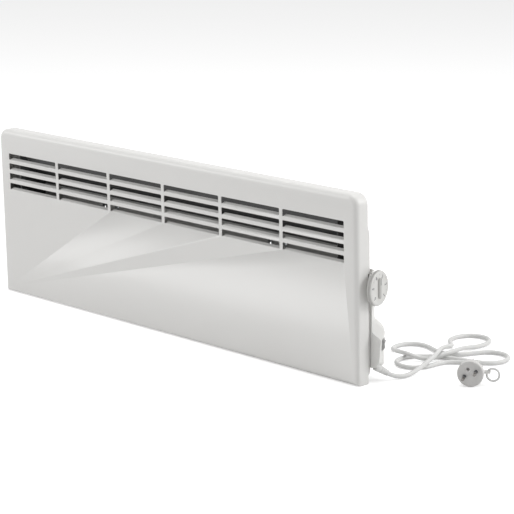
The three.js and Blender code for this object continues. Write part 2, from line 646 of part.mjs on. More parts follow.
function thermostatBody() {
  const front = -NECK_DEPTH - GAP;
  const half = THERMOSTAT_WIDTH / 2;
  const tall = THERMOSTAT_HEIGHT / 2;
  const body = block(-half, half, -tall, tall, front - THERMOSTAT_LENGTH, front);
  const blade = (x) => block(x - 3, x + 3, -0.4, 0.4, front - THERMOSTAT_LENGTH - 7, front - 4);
  const bore = rod(SHAFT_RADIUS + GAP, front - 6, front + 1, 14);
  return onKnobAxis(cut(joined(body, blade(-5).translate(0, -9, 0), blade(5).translate(0, 9, 0)), bore));
}

function thermostatShaft() {
  const start = -NECK_DEPTH - GAP - 5.5;
  const flat = block(SHAFT_RADIUS - 0.8, SHAFT_RADIUS + 2, -OVERRUN, OVERRUN, -1, OVERRUN * 4);
  return onKnobAxis(cut(rod(SHAFT_RADIUS, start, SHAFT_SOCKET_DEPTH - GAP, 16), flat));
}

// The knob: a fluted skirt, a dished face and a grip bar across it, on a D-shaped socket.
function thermostatKnob() {
  const flutes = KNOB_FLUTES;
  const rim = Array.from({ length: flutes * 3 }, (_, i) => {
    const angle = (i / (flutes * 3)) * 2 * Math.PI;
    const r = KNOB_RADIUS - 1.2 - (i % 3 === 0 ? KNOB_FLUTE_DEPTH : 0);
    return [r * Math.cos(angle), r * Math.sin(angle)];
  });
  const skirt = new THREE.ExtrudeGeometry(shapeOf(rim), {
    depth: KNOB_THICKNESS - 2.4, bevelThickness: 1.2, bevelSize: 1.2, bevelSegments: 2,
  }).translate(0, 0, 1.2);
  const bar = prismY(rectangle(-GRIP_WIDTH / 2, KNOB_THICKNESS - 1, GRIP_WIDTH / 2,
    KNOB_THICKNESS + GRIP_RISE, [0, 0, 2, 2]), -GRIP_LENGTH / 2, GRIP_LENGTH / 2, 3);
  const dish = turned([[0, KNOB_THICKNESS - 0.9], [KNOB_RADIUS - 5, KNOB_THICKNESS - 0.9],
    [KNOB_RADIUS - 4, KNOB_THICKNESS + 1], [0, KNOB_THICKNESS + 1]], 32);
  const socket = cut(rod(SHAFT_RADIUS + GAP, -1, SHAFT_SOCKET_DEPTH, 16),
    block(SHAFT_RADIUS - 0.8 + GAP, SHAFT_RADIUS + 3, -OVERRUN, OVERRUN, -2, SHAFT_SOCKET_DEPTH + 1));
  return onKnobAxis(cut(joined(cut(skirt, dish), bar), socket));
}

// ---- Connection box, switch and terminals -------------------------------------------------------
// The box's outer face leans back; its frame has X up the slope's run, Y up and Z outwards.
const faceStart = new THREE.Vector2(halfWidth + BOX_REACH, SHOULDER_DEPTH + GAP);
const faceEnd = new THREE.Vector2(halfWidth + BOX_WAIST_REACH, WAIST_DEPTH);
const faceRun = faceEnd.clone().sub(faceStart).normalize();
const switchAt = faceStart.clone().addScaledVector(faceRun, SWITCH_ALONG);
const switchFrame = new THREE.Matrix4()
  .makeBasis(new THREE.Vector3(faceRun.x, faceRun.y, 0), upZ, new THREE.Vector3(faceRun.y, -faceRun.x, 0))
  .setPosition(switchAt.x, switchAt.y, SWITCH_HEIGHT);
const onSwitch = (geometry) => geometry.applyMatrix4(switchFrame);

const bootRoot = new THREE.Vector3(halfWidth + 4, SHOULDER_DEPTH + 10.5, BOX_BOTTOM - 1);
const bootAim = new THREE.Vector3(0.27, 0.795, -0.545).normalize();
const bootFrame = new THREE.Matrix4()
  .lookAt(bootAim, new THREE.Vector3(), upZ)
  .setPosition(bootRoot);
const onBoot = (geometry) => geometry.applyMatrix4(bootFrame);

function connectionBox() {
  const stopper = OVERRUN * 3;
  const outer = common(prismY(boxElevation(0), SHOULDER_DEPTH + GAP, HOUSING_BACK),
    prismZ(boxOutline(0), BOX_BOTTOM - stopper, HOUSING_SPLIT + stopper));
  const inner = common(prismY(boxElevation(BOX_WALL), SHOULDER_DEPTH, HOUSING_BACK),
    prismZ(boxOutline(BOX_WALL), BOX_BOTTOM - stopper, HOUSING_SPLIT + stopper));
  const collar = common(prismZ(neckOutline(0), BOX_SHOULDER_HEIGHT, HOUSING_SPLIT - GAP),
    prismY(rectangle(boxInnerX, 0, halfWidth + 20, HOUSING_SPLIT), SHOULDER_DEPTH, HOUSING_BACK + 1));
  const collarHollow = prismZ(neckOutline(BOX_WALL), BOX_SHOULDER_HEIGHT - 6, HOUSING_SPLIT - GAP - BOX_WALL);
  const switchHole = onSwitch(block(-ROCKER_WIDTH / 2 - SWITCH_RIM / 2, ROCKER_WIDTH / 2 + SWITCH_RIM / 2,
    -ROCKER_LENGTH / 2 - SWITCH_RIM / 2, ROCKER_LENGTH / 2 + SWITCH_RIM / 2, -SWITCH_BODY_DEPTH, OVERRUN));
  const bootHole = onBoot(rod(BOOT_RADIUS + GAP, -7, 40, 16));
  return cut(joined(outer, collar), inner, collarHollow, keepOut(), switchHole, bootHole);
}

// The switch body: a rimmed well for the rocker, with two blades behind.
function switchBody() {
  const w = ROCKER_WIDTH / 2;
  const h = ROCKER_LENGTH / 2;
  const grow = SWITCH_RIM / 2 - GAP;
  const can = block(-w - grow, w + grow, -h - grow, h + grow, -SWITCH_BODY_DEPTH + GAP, GAP);
  const rim = block(-w - SWITCH_RIM, w + SWITCH_RIM, -h - SWITCH_RIM, h + SWITCH_RIM, GAP, GAP + 0.8);
  const well = block(-w, w, -h, h, -SWITCH_BODY_DEPTH + 3.5, OVERRUN);
  const floor = -SWITCH_BODY_DEPTH + GAP;
  const blades = [-1, 1].map((s) => block(-2.4, 2.4, s * 4 - 0.4, s * 4 + 0.4, floor - 3.5, floor + 1));
  const pivots = [-1, 1].map((s) =>
    alongX(rod(ROCKER_PIN_RADIUS, -0.6, 0.6, 10), s * (w - 0.3), 0, -ROCKER_PIVOT_DEPTH));
  return onSwitch(joined(cut(joined(can, rim), well), ...blades, ...pivots));
}

// The rocker: two paddles that meet at a shallow valley, dimpled for the pivot pins.
function powerRocker() {
  const h = ROCKER_LENGTH / 2 - 0.7;
  const w = ROCKER_WIDTH / 2 - GAP;
  const high = GAP + 0.8 + ROCKER_RISE;
  const profile = shapeOf([[-h, high], [-h + 0.6, -2.6], [-2.2, -4.6], [2.2, -4.6], [h - 0.6, -2.6],
    [h, high], [0, high - ROCKER_VALLEY]]);
  const paddle = prismX(profile, -w, w);
  const dimples = [-1, 1].map((s) =>
    alongX(rod(ROCKER_PIN_RADIUS + GAP, -1.1, 1.1, 10), s * w, 0, -ROCKER_PIVOT_DEPTH));
  const pressed = cut(paddle, ...dimples)
    .translate(0, 0, ROCKER_PIVOT_DEPTH)
    .rotateX(THREE.MathUtils.degToRad(ROCKER_THROW / 2))
    .translate(0, 0, -ROCKER_PIVOT_DEPTH);
  return onSwitch(pressed);
}

const terminalAt = { x: halfWidth - 6, y: WAIST_DEPTH - 1, z: 50 };
function terminalBlock() {
  const { x, y, z } = terminalAt;
  const base = block(x - TERMINAL_WIDTH / 2, x + TERMINAL_WIDTH / 2, y - TERMINAL_DEPTH / 2,
    y + TERMINAL_DEPTH / 2, z - TERMINAL_LENGTH / 2, z + TERMINAL_LENGTH / 2);
  const wells = [-1, 0, 1].map((i) =>
    alongX(rod(2.2, -3, 3, 10), x + TERMINAL_WIDTH / 2, y, z + i * TERMINAL_LENGTH * 0.31));
  return cut(base, ...wells);
}

// ---- Cord, boot, clamp and plug -----------------------------------------------------------------
function strainRelief() {
  const rings = [4, 8, 12, 16].flatMap((h) => {
    const crest = BOOT_RADIUS - h * 0.07;
    return [[crest, h], [crest - 0.8, h + 1], [crest - 0.8, h + 2], [crest - 0.1, h + 2.6]];
  });
  const body = turned([[0, -5], [BOOT_RADIUS, -5], [BOOT_RADIUS, 0], ...rings,
    [BOOT_TIP_RADIUS, BOOT_LENGTH], [0, BOOT_LENGTH]], 16);
  return onBoot(body);
}

const bootTip = new THREE.Vector3(0, 0, BOOT_LENGTH + GAP).applyMatrix4(bootFrame);
const floorLevel = cordRadius + CORD_LIFT;
const layer = CORD_DIAMETER + 0.4; // height between strands that cross

// The cord's way over the floor: from the boot back under the box, round three loops that cross in
// low humps, and on to the plug. Points are x, y and the number of layers above the floor.
const cordWay = [
  [448, 80, -0.2], [445, 114, 0.5], [436, 148, 1.1], [432, 169, 1.5], [412, 203, 1.6], [404, 230, 0.7],
  [396, 252, 0.1], [364, 272, 0], [367, 312, 0], [396, 327, 0], [425, 313, 0], [429, 276, 0],
  [415, 254, 0.1], [435, 213, 1.3], [428, 191, 0.9], [413, 165, -0.3], [389, 150, 1.3], [364, 156, 0.8],
  [328, 177, -0.1], [327, 211, 0], [356, 231, 0], [397, 209, 0], [422, 211, 0], [439, 226, 0],
  [454, 268, 0], [489, 273, 0], [511, 248, 0], [502, 214, 0], [457, 204, 0], [432, 198, 0],
  [411, 189, 0], [375, 159, 0], [383, 124, 0], [413, 113, 0], [441, 131, 0], [438, 175, 0],
  [461, 195, 0], [492, 193, 0.2],
];
const CORD_ARM = 11; // straight reach out of the boot and into the plug

const plugFace = new THREE.Vector3(546, 113, PLUG_RADIUS + CORD_LIFT);
const plugAim = new THREE.Vector3(0.516, -0.856, 0).normalize();
const plugFrame = new THREE.Matrix4()
  .makeBasis(new THREE.Vector3(-plugAim.y, plugAim.x, 0), upZ, plugAim)
  .setPosition(plugFace);
const onPlug = (geometry) => geometry.applyMatrix4(plugFrame);
const plugTail = -PLUG_LENGTH - PLUG_BOOT_LENGTH;

// A smooth curve that starts and ends on its outer points and is drawn towards the others.
function smoothCurve(points) {
  const degree = 3;
  const spans = points.length - degree;
  const knots = [
    ...Array(degree).fill(0),
    ...Array.from({ length: spans + 1 }, (_, i) => i / spans),
    ...Array(degree).fill(1),
  ];
  return new NURBSCurve(degree, knots, points.map((p) => new THREE.Vector4(p.x, p.y, p.z, 1)));
}

function mainsCord() {
  const tail = (d) => new THREE.Vector3(0, 0, plugTail - d).applyMatrix4(plugFrame);
  const points = [
    bootTip, bootTip.clone().addScaledVector(bootAim, CORD_ARM),
    ...cordWay.map(([x, y, level]) => new THREE.Vector3(x, y, floorLevel + level * layer)),
    tail(GAP + CORD_ARM), tail(GAP),
  ];
  const section = shapeOf(Array.from({ length: CORD_SIDES }, (_, i) => {
    const angle = (i / CORD_SIDES) * 2 * Math.PI;
    return [cordRadius * Math.cos(angle), cordRadius * Math.sin(angle)];
  }));
  return new THREE.ExtrudeGeometry(section, { steps: CORD_STEPS, extrudePath: smoothCurve(points) });
}

// Along the line through both pins, and across it, on the plug's face.
const onPinLine = (geometry, along, across) =>
  geometry.translate(along, across, 0).rotateZ(THREE.MathUtils.degToRad(PIN_ROLL));

function plugBody() {
  const neck = PLUG_NECK_RADIUS;
  const shell = turned([[0, plugTail], [cordRadius + 0.8, plugTail], [neck - 1.4, -PLUG_LENGTH],
    [neck, -PLUG_LENGTH], [neck + 3, -PLUG_LENGTH + 5], [PLUG_RADIUS - 6, -20], [PLUG_RADIUS - 5, -12],
    [PLUG_RADIUS, -9], [PLUG_RADIUS, -1.5], [PLUG_RADIUS - 1.5, 0], [0, 0]], 28);
  const pinHoles = [-1, 1].map((s) => onPinLine(rod(PIN_RADIUS + GAP, -7, 1, 12), s * PIN_SPACING / 2, 0));
  const earth = onPinLine(rod(2.6, -6, 1, 12), 0, 8);
  const eyeWidth = 2 * RING_WIRE_RADIUS + 1.4;
  const eyeMiddle = PLUG_RADIUS + 3;
  const lug = prismY(rectangle(8, RING_SEAT - 4.6, eyeMiddle + EYE_LENGTH / 2 + 1.8, RING_SEAT + 4.6, 2),
    -1.6, 1.6, 3);
  const eye = prismY(rectangle(eyeMiddle - EYE_LENGTH / 2, RING_SEAT - eyeWidth / 2,
    eyeMiddle + EYE_LENGTH / 2, RING_SEAT + eyeWidth / 2, 1.5), -OVERRUN, OVERRUN, 3);
  return onPlug(cut(joined(shell, lug), ...pinHoles, earth, eye));
}

function plugPin(side) {
  const body = turned([[0, -6.7], [PIN_RADIUS, -6.7], [PIN_RADIUS, PIN_LENGTH - 1.4],
    [PIN_RADIUS * 0.6, PIN_LENGTH], [0, PIN_LENGTH]], 12);
  return onPlug(onPinLine(body, side * PIN_SPACING / 2, 0));
}

// A pull ring through the plug's lug.
function plugRing() {
  const ring = new THREE.TorusGeometry(RING_RADIUS, RING_WIRE_RADIUS, 8, 20)
    .translate(RING_RADIUS, 0, 0)
    .rotateZ(THREE.MathUtils.degToRad(-RING_DROP));
  return onPlug(ring.translate(PLUG_RADIUS + 3, 0, RING_SEAT));
}

// ---- Wall fittings ------------------------------------------------------------------------------
// One pressed bracket: two channel uprights with hooks on their front edges, tied by a slotted rail.
function wallBracket() {
  const front = BACK_DEPTH + GAP + 0.2;
  const wall = WALL_DISTANCE;
  const inside = panBack - GAP - BRACKET_SHEET;
  const hook = (z) => [[front, z - HOOK_THICKNESS], [inside - HOOK_LEG + BRACKET_SHEET, z - HOOK_THICKNESS],
    [inside - HOOK_LEG + BRACKET_SHEET, z + HOOK_RISE], [inside, z + HOOK_RISE], [inside, z], [front, z]];
  const cheek = shapeOf([[wall, UPRIGHT_BOTTOM], [wall, UPRIGHT_TOP], [front + 8, UPRIGHT_TOP],
    [front, UPRIGHT_TOP - 10], ...hook(HOOK_HIGH).reverse(), ...hook(HOOK_LOW).reverse(),
    [front, UPRIGHT_BOTTOM + 10], [front + 8, UPRIGHT_BOTTOM]]);
  const cheeks = uprightSides.map((x) => prismX(cheek, x - BRACKET_SHEET / 2, x + BRACKET_SHEET / 2));
  const webs = [-1, 1].map((side) => {
    const x = side * BRACKET_SPAN / 2;
    return block(x - UPRIGHT_WIDTH / 2, x + UPRIGHT_WIDTH / 2, wall - BRACKET_SHEET, wall,
      UPRIGHT_BOTTOM, UPRIGHT_TOP);
  });
  const holes = Array.from({ length: RAIL_HOLES }, (_, i) => {
    const x = (i - (RAIL_HOLES - 1) / 2) * RAIL_HOLE_PITCH;
    const z = RAIL_BOTTOM + RAIL_HEIGHT / 2;
    return rectangle(x - RAIL_HOLE_LENGTH / 2, z - RAIL_HOLE_WIDTH / 2, x + RAIL_HOLE_LENGTH / 2,
      z + RAIL_HOLE_WIDTH / 2, RAIL_HOLE_WIDTH / 2 - 0.01);
  });
  const rail = cut(block(-BRACKET_SPAN / 2, BRACKET_SPAN / 2, wall - BRACKET_SHEET, wall, RAIL_BOTTOM,
    RAIL_BOTTOM + RAIL_HEIGHT), prismY(holes, wall - OVERRUN, wall + OVERRUN, 3));
  const hem = block(-BRACKET_SPAN / 2 + UPRIGHT_WIDTH / 2 - 1, BRACKET_SPAN / 2 - UPRIGHT_WIDTH / 2 + 1,
    wall - 8, wall, RAIL_BOTTOM + RAIL_HEIGHT - BRACKET_SHEET, RAIL_BOTTOM + RAIL_HEIGHT);
  return joined(rail, hem, ...webs, ...cheeks);
}

// A moulded foot under the pan that keeps the heater off the wall and level with its bottom edge.
function rearSpacer(side) {
  const slope = (BACK_BOTTOM - SHOULDER_BOTTOM) / (BACK_DEPTH - SHOULDER_DEPTH);
  const under = (y) => SHOULDER_BOTTOM + slope * (y - SHOULDER_DEPTH) - GAP * 1.3;
  const start = SHOULDER_DEPTH + 5;
  const back = BACK_DEPTH + GAP;
  const outline = shapeOf([[start, 0], [WALL_DISTANCE, 0], [WALL_DISTANCE, 16],
    [back + 6, BACK_BOTTOM + 18], [back, BACK_BOTTOM + 18], [back, under(BACK_DEPTH)],
    [start, under(start)]]);
  const w = SPACER_WALL;
  const pocket = shapeOf([[start + w * 2, w], [WALL_DISTANCE - w, w], [WALL_DISTANCE - w, 15],
    [back + 5, BACK_BOTTOM + 8], [back + w, BACK_BOTTOM + 4], [back + w, under(BACK_DEPTH) - w],
    [start + w * 2, under(start + w * 2) - w]]);
  const left = side * SPACER_X - SPACER_WIDTH / 2;
  const body = prismX(outline, left, left + SPACER_WIDTH);
  return cut(body, prismX(pocket, left + w, left + SPACER_WIDTH + OVERRUN).translate(0, 0, 0));
}

// ---- The assembly -------------------------------------------------------------------------------
const finish = (color, roughness, metalness) => () =>
  new THREE.MeshStandardMaterial({ color, roughness, metalness });
const whitePaint = finish(0xe4e4e2, 0.42, 0);
const greyPlastic = finish(0xd2d2ce, 0.45, 0);
const knobPlastic = finish(0xd9d9d5, 0.4, 0);
const zincSteel = finish(0xb3b6b8, 0.42, 0.9);
const aluminium = finish(0xc6c8ca, 0.35, 0.95);
const ceramic = finish(0xe9e4d6, 0.7, 0);
const darkPlastic = finish(0x55575a, 0.5, 0);
const cordSheath = finish(0xcfcecb, 0.55, 0);
const plugPlastic = finish(0xb5b5b2, 0.5, 0);
const steelPin = finish(0x6f7072, 0.3, 1);

const heater = new THREE.Group();
const base = new THREE.Group();
const dial = new THREE.Group();
const rocker = new THREE.Group();
const bracket = new THREE.Group();
const flex = new THREE.Group();
heater.add(base, dial, rocker, bracket, flex);

function add(group, name, geometry, material) {
  const mesh = new THREE.Mesh(geometry, material());
  mesh.name = name;
  group.add(mesh);
}

add(base, "front_casing", frontCasing(), whitePaint);
add(base, "rear_cover", rearCover(), whitePaint);
add(base, "inlet_grille", inletGrille(), whitePaint);
add(base, "end_plate_left", endPlate(-1), zincSteel);
add(base, "end_plate_right", endPlate(1), zincSteel);
add(base, "ceramic_bush_left", ceramicBush(-1), ceramic);
add(base, "ceramic_bush_right", ceramicBush(1), ceramic);
add(base, "element_sheath", elementSheath(), zincSteel);
add(base, "element_fins", elementFins(), aluminium);
add(base, "air_baffle", airBaffle(), zincSteel);
add(base, "thermal_cutout", thermalCutout(), darkPlastic);
add(base, "control_housing", controlHousing(), greyPlastic);
add(base, "thermostat_body", thermostatBody(), darkPlastic);
add(base, "connection_box", connectionBox(), greyPlastic);
add(base, "switch_body", switchBody(), darkPlastic);
add(base, "terminal_block", terminalBlock(), ceramic);
add(base, "rear_spacer_left", rearSpacer(-1), darkPlastic);
add(base, "rear_spacer_right", rearSpacer(1), darkPlastic);
for (let i = 0; i < COVER_SCREWS; i++)
  add(base, "cover_screw_" + (i + 1),
    backScrew().translate(coverScrewX(i), coverBack + GAP, coverScrewZ), zincSteel);
add(dial, "thermostat_knob", thermostatKnob(), knobPlastic);
add(dial, "thermostat_shaft", thermostatShaft(), zincSteel);
add(rocker, "power_rocker", powerRocker(), darkPlastic);
add(bracket, "wall_bracket", wallBracket(), zincSteel);
add(flex, "strain_relief", strainRelief(), cordSheath);
add(flex, "mains_cord", mainsCord(), cordSheath);
add(flex, "plug_body", plugBody(), plugPlastic);
add(flex, "plug_pin_left", plugPin(-1), steelPin);
add(flex, "plug_pin_right", plugPin(1), steelPin);
add(flex, "plug_ring", plugRing(), cordSheath);

// The origin lies under the middle of the heater's own box, without its cord.
const footprint = new THREE.Box3();
for (const group of [base, dial, rocker, bracket]) footprint.expandByObject(group, true);
const middle = footprint.getCenter(new THREE.Vector3());
heater.position.set(-middle.x, -middle.y, -footprint.min.z);

export default heater;
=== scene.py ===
"""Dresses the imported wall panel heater: enamelled sheet, moulded controls, lead and plug."""
import json
import math

import bmesh
import bpy
from mathutils import Matrix, Vector

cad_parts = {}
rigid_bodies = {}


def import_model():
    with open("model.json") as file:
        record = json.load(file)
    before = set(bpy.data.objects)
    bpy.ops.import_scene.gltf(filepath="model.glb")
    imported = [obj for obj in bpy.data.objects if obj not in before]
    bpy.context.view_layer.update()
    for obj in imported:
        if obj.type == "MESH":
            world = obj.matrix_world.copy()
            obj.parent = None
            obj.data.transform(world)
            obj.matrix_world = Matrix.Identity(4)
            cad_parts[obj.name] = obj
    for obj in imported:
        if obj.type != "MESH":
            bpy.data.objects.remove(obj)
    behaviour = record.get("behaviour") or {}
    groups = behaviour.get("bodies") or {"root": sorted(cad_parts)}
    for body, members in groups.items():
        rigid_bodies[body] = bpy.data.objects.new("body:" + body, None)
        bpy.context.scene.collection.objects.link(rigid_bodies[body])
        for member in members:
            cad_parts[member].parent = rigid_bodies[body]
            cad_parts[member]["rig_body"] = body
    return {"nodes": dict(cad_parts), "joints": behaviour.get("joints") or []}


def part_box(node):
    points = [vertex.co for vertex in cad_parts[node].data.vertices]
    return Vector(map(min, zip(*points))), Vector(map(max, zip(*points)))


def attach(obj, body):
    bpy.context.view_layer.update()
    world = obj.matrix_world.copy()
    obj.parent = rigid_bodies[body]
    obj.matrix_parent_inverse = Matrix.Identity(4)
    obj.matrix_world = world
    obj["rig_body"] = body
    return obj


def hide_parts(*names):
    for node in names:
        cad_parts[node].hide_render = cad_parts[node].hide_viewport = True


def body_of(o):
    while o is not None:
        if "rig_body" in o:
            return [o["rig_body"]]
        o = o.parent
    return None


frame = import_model()

bl_info = {
    "name": "Wall panel heater",
    "version": (1, 0, 0),
    "blender": (4, 5, 0),
    "location": "View3D > Sidebar > Heater",
    "description": "Builds the visible pieces of a wall panel heater over its packed frame",
    "category": "Object",
}

MM = 0.001
case_low, case_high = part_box("front_casing")
CASE_ORIGIN = Vector(((case_low.x + case_high.x) / 2, case_low.y, case_low.z))
HALF_WIDTH = (case_high.x - case_low.x) / 2 / MM


def at(x, y, z):
    """A point given in millimetres from the middle of the panel's front foot."""
    return CASE_ORIGIN + Vector((x, y, z)) * MM


def pose(origin, aim, up=(0, 0, 1)):
    """A place at a point in row metres, whose Z looks along aim and whose Y is as near up as it can be."""
    z = Vector(aim).normalized()
    x = Vector(up).cross(z).normalized()
    y = z.cross(x)
    matrix = Matrix((x, y, z)).transposed().to_4x4()
    matrix.translation = origin
    return matrix


joints = {joint["name"]: joint for joint in frame["joints"]}

# The louvres and how far their lips are flattened, in millimetres.
LOUVRE_FOOT = 237.5
LOUVRE_PITCH = 17.3
LOUVRE_LOW = 180
LOUVRE_HIGH = 246
LIP_FRONT = 1.2
LIP_BACK = 8.6
LIP_RISE = 5
LIP_FLATTENING = 0.56

# How the side mouldings are drawn in, in millimetres.
BOSS_BACK = -13.2
BOSS_NECK = 7.5
BOSS_FOOT = 25.4
BOSS_SIDE = 29
BOSS_FLATTENING = 0.35
HOUSING_BEND = 160
HOUSING_LOWERING = 0.69
ROCKER_PIVOT_DEPTH = 2.2
BOX_SKIN = 3.5
BOX_FOOT = 23.5
DRAFT_HEIGHT = 60
DRAFT = 4

# The dial stands this far off the place of its joint, on a hub that closes the gap.
DIAL_STANDOFF = 2.0


# The dial's own sizes, in millimetres and degrees.
DIAL_FACE = 6.3
SKIRT_RADIUS = 24.8
GRIP_HALF_WIDTH = 3.6
GRIP_HALF_LENGTH = 15.6
GRIP_FOOT = 5
GRIP_TOP = 9.2
NUMERAL_COUNT = 6
NUMERAL_RADIUS = 17.8
FIRST_NUMERAL_TURN = 135
NUMERAL_STEP = 54
TICK_COUNT = 11
TICK_STEP = 27

# The rocker, in millimetres and degrees.
ROCKER_HALF_WIDTH = 4.2
ROCKER_HALF_LENGTH = 6.2
ROCKER_REST_TILT = 7
VALLEY_DEPTH = 1.15
VALLEY_POWER = 1.6

# Where the lead runs, as in the solids' source: millimetres from the middle of the panel's front foot.
LEAD_DIAMETER = 7.0
LEAD_LIFT = 0.25
LEAD_LAYER = LEAD_DIAMETER + 0.4
LEAD_ARM = 11.0
BOOT_ROOT = Vector((HALF_WIDTH + 4, 40, 22.5))
BOOT_AIM = Vector((0.27, 0.795, -0.545)).normalized()
BOOT_LENGTH = 20.0
PLUG_FACE = Vector((546, 113, 20.25))
PLUG_AIM = Vector((0.516, -0.856, 0)).normalized()
PLUG_TAIL = 50.0
PIN_OFFSET = 9.5
PIN_LINE_TURN = 25
ROUTE_POINTS = 420
FLOOR_GLOW = 0.42
LEAD_WAY = [
    (448, 80, -0.2), (445, 114, 0.5), (436, 148, 1.1), (432, 169, 1.5), (412, 203, 1.6), (404, 230, 0.7),
    (396, 252, 0.1), (364, 272, 0), (367, 312, 0), (396, 327, 0), (425, 313, 0), (429, 276, 0),
    (415, 254, 0.1), (435, 213, 1.3), (428, 191, 0.9), (413, 165, -0.3), (389, 150, 1.3), (364, 156, 0.8),
    (328, 177, -0.1), (327, 211, 0), (356, 231, 0), (397, 209, 0), (422, 211, 0), (439, 226, 0),
    (454, 268, 0), (489, 273, 0), (511, 248, 0), (502, 214, 0), (457, 204, 0), (432, 198, 0),
    (411, 189, 0), (375, 159, 0), (383, 124, 0), (413, 113, 0), (441, 131, 0), (438, 175, 0),
    (461, 195, 0), (492, 193, 0.2),
]


# ---- What a user may change --------------------------------------------------------------------------
def colour(name, description, value):
    """A colour property with an opaque default given as three linear numbers."""
    return bpy.props.FloatVectorProperty(
        name=name, description=description, subtype="COLOR", size=3, min=0, max=1, default=value
    )


def millimetres(name, description, value):
    """A length property in millimetres."""
    return bpy.props.FloatProperty(name=name, description=description, default=value, min=0)


class HeaterFinishes(bpy.types.PropertyGroup):
    """Colours and grain of the heater's finishes."""

    enamel: colour("Enamel", "Powder coat on the panel and the pan", (0.7, 0.694, 0.678))
    housing: colour("Housing", "Moulded side housing and connection box", (0.76, 0.755, 0.735))
    dial: colour("Dial", "Cap of the thermostat dial", (0.61, 0.605, 0.585))
    # Painted shade: the dial's skirt and grip bar take this darker grey, which stands in for the shade on
    # their sides.
    grip: colour("Dial skirt", "Ribbed skirt and grip of the thermostat dial", (0.49, 0.485, 0.468))
    ink: colour("Ink", "Printed scale on the dial and marks on the switch", (0.1, 0.1, 0.105))
    switch: colour("Switch", "Rocker and its rim", (0.36, 0.36, 0.355))
    lead: colour("Lead", "Sheath of the mains lead", (0.66, 0.66, 0.65))
    plug: colour("Plug", "Rubber plug", (0.61, 0.602, 0.59))
    zinc: colour("Zinc", "Galvanised sheet of the bracket", (0.52, 0.54, 0.55))
    # Painted shade: this near-black sheet inside the air chamber stands in for the shade there, so the
    # louvre slots read dark.
    chamber_shade: colour("Baked zinc", "Sheet inside the air chamber", (0.11, 0.11, 0.11))
    peel_depth: millimetres("Orange peel", "Depth of the powder coat's ripple, in mm", 0.012)
    grain_depth: millimetres("Moulding grain", "Depth of the plastic's sparked grain, in mm", 0.015)


class HeaterShapes(bpy.types.PropertyGroup):
    """Sizes of the modelled details."""

    dial_ribs: bpy.props.IntProperty(
        name="Dial ribs", description="Ribs round the dial's skirt", default=48, min=12, max=96
    )
    numeral_height: millimetres("Numerals", "Height of the dial's numerals, in mm", 5.4)


class HeaterStage(bpy.types.PropertyGroup):
    """Light, floor and camera."""

    camera_at: bpy.props.FloatVectorProperty(
        name="Camera place", description="Camera in the row frame", subtype="TRANSLATION", unit="LENGTH",
        default=(2.40924, -2.17021, 0.92139),
    )
    camera_turn: bpy.props.FloatVectorProperty(
        name="Camera turn", description="Camera's rotation", subtype="EULER", unit="ROTATION",
        default=(math.radians(76.1265), math.radians(1.0329), math.radians(45.7503)),
    )
    focal_length: bpy.props.FloatProperty(
        name="Focal length", description="On a 36 mm sensor, in mm", default=144.13, min=1
    )
    sky: bpy.props.FloatProperty(
        name="Sky", description="Strength of the light from all round", default=0.43, min=0
    )
    overhead: bpy.props.FloatProperty(
        name="Overhead box", description="Power of the softbox overhead, in W", default=36, min=0
    )
    front: bpy.props.FloatProperty(
        name="Front box", description="Power of the softbox at the left in front, in W", default=116, min=0
    )
    side: bpy.props.FloatProperty(
        name="Side box", description="Power of the softbox behind the controls' side, in W",
        default=40, min=0,
    )
    floor: colour("Floor", "Paper the heater stands on", (0.86, 0.86, 0.86))


def finishes():
    """The user's colours."""
    return bpy.context.scene.heater_finishes


def shapes():
    """The user's sizes."""
    return bpy.context.scene.heater_shapes


# ---- Finishes ------------------------------------------------------------------------------------------
# Places of the Mix node's colour sockets, which share their names with its other kinds.
MIX_AMOUNT = 0
MIX_FIRST = 6
MIX_SECOND = 7
MIX_RESULT = 2


class Wire:
    """A socket that can be calculated with: every operator on it adds a Math node."""

    def __init__(self, finish, socket):
        self.finish = finish
        self.socket = socket

    def worked(self, operation, first, second):
        """One operation on two values, of which at least one is a Wire."""
        return self.finish.node("ShaderNodeMath", {"operation": operation}, {0: first, 1: second})

    def __add__(self, other):
        return self.worked("ADD", self, other)

    def __radd__(self, other):
        return self.worked("ADD", other, self)

    def __sub__(self, other):
        return self.worked("SUBTRACT", self, other)

    def __rsub__(self, other):
        return self.worked("SUBTRACT", other, self)

    def __mul__(self, other):
        return self.worked("MULTIPLY", self, other)

    def __rmul__(self, other):
        return self.worked("MULTIPLY", other, self)

    def __gt__(self, other):
        return self.worked("GREATER_THAN", self, other)


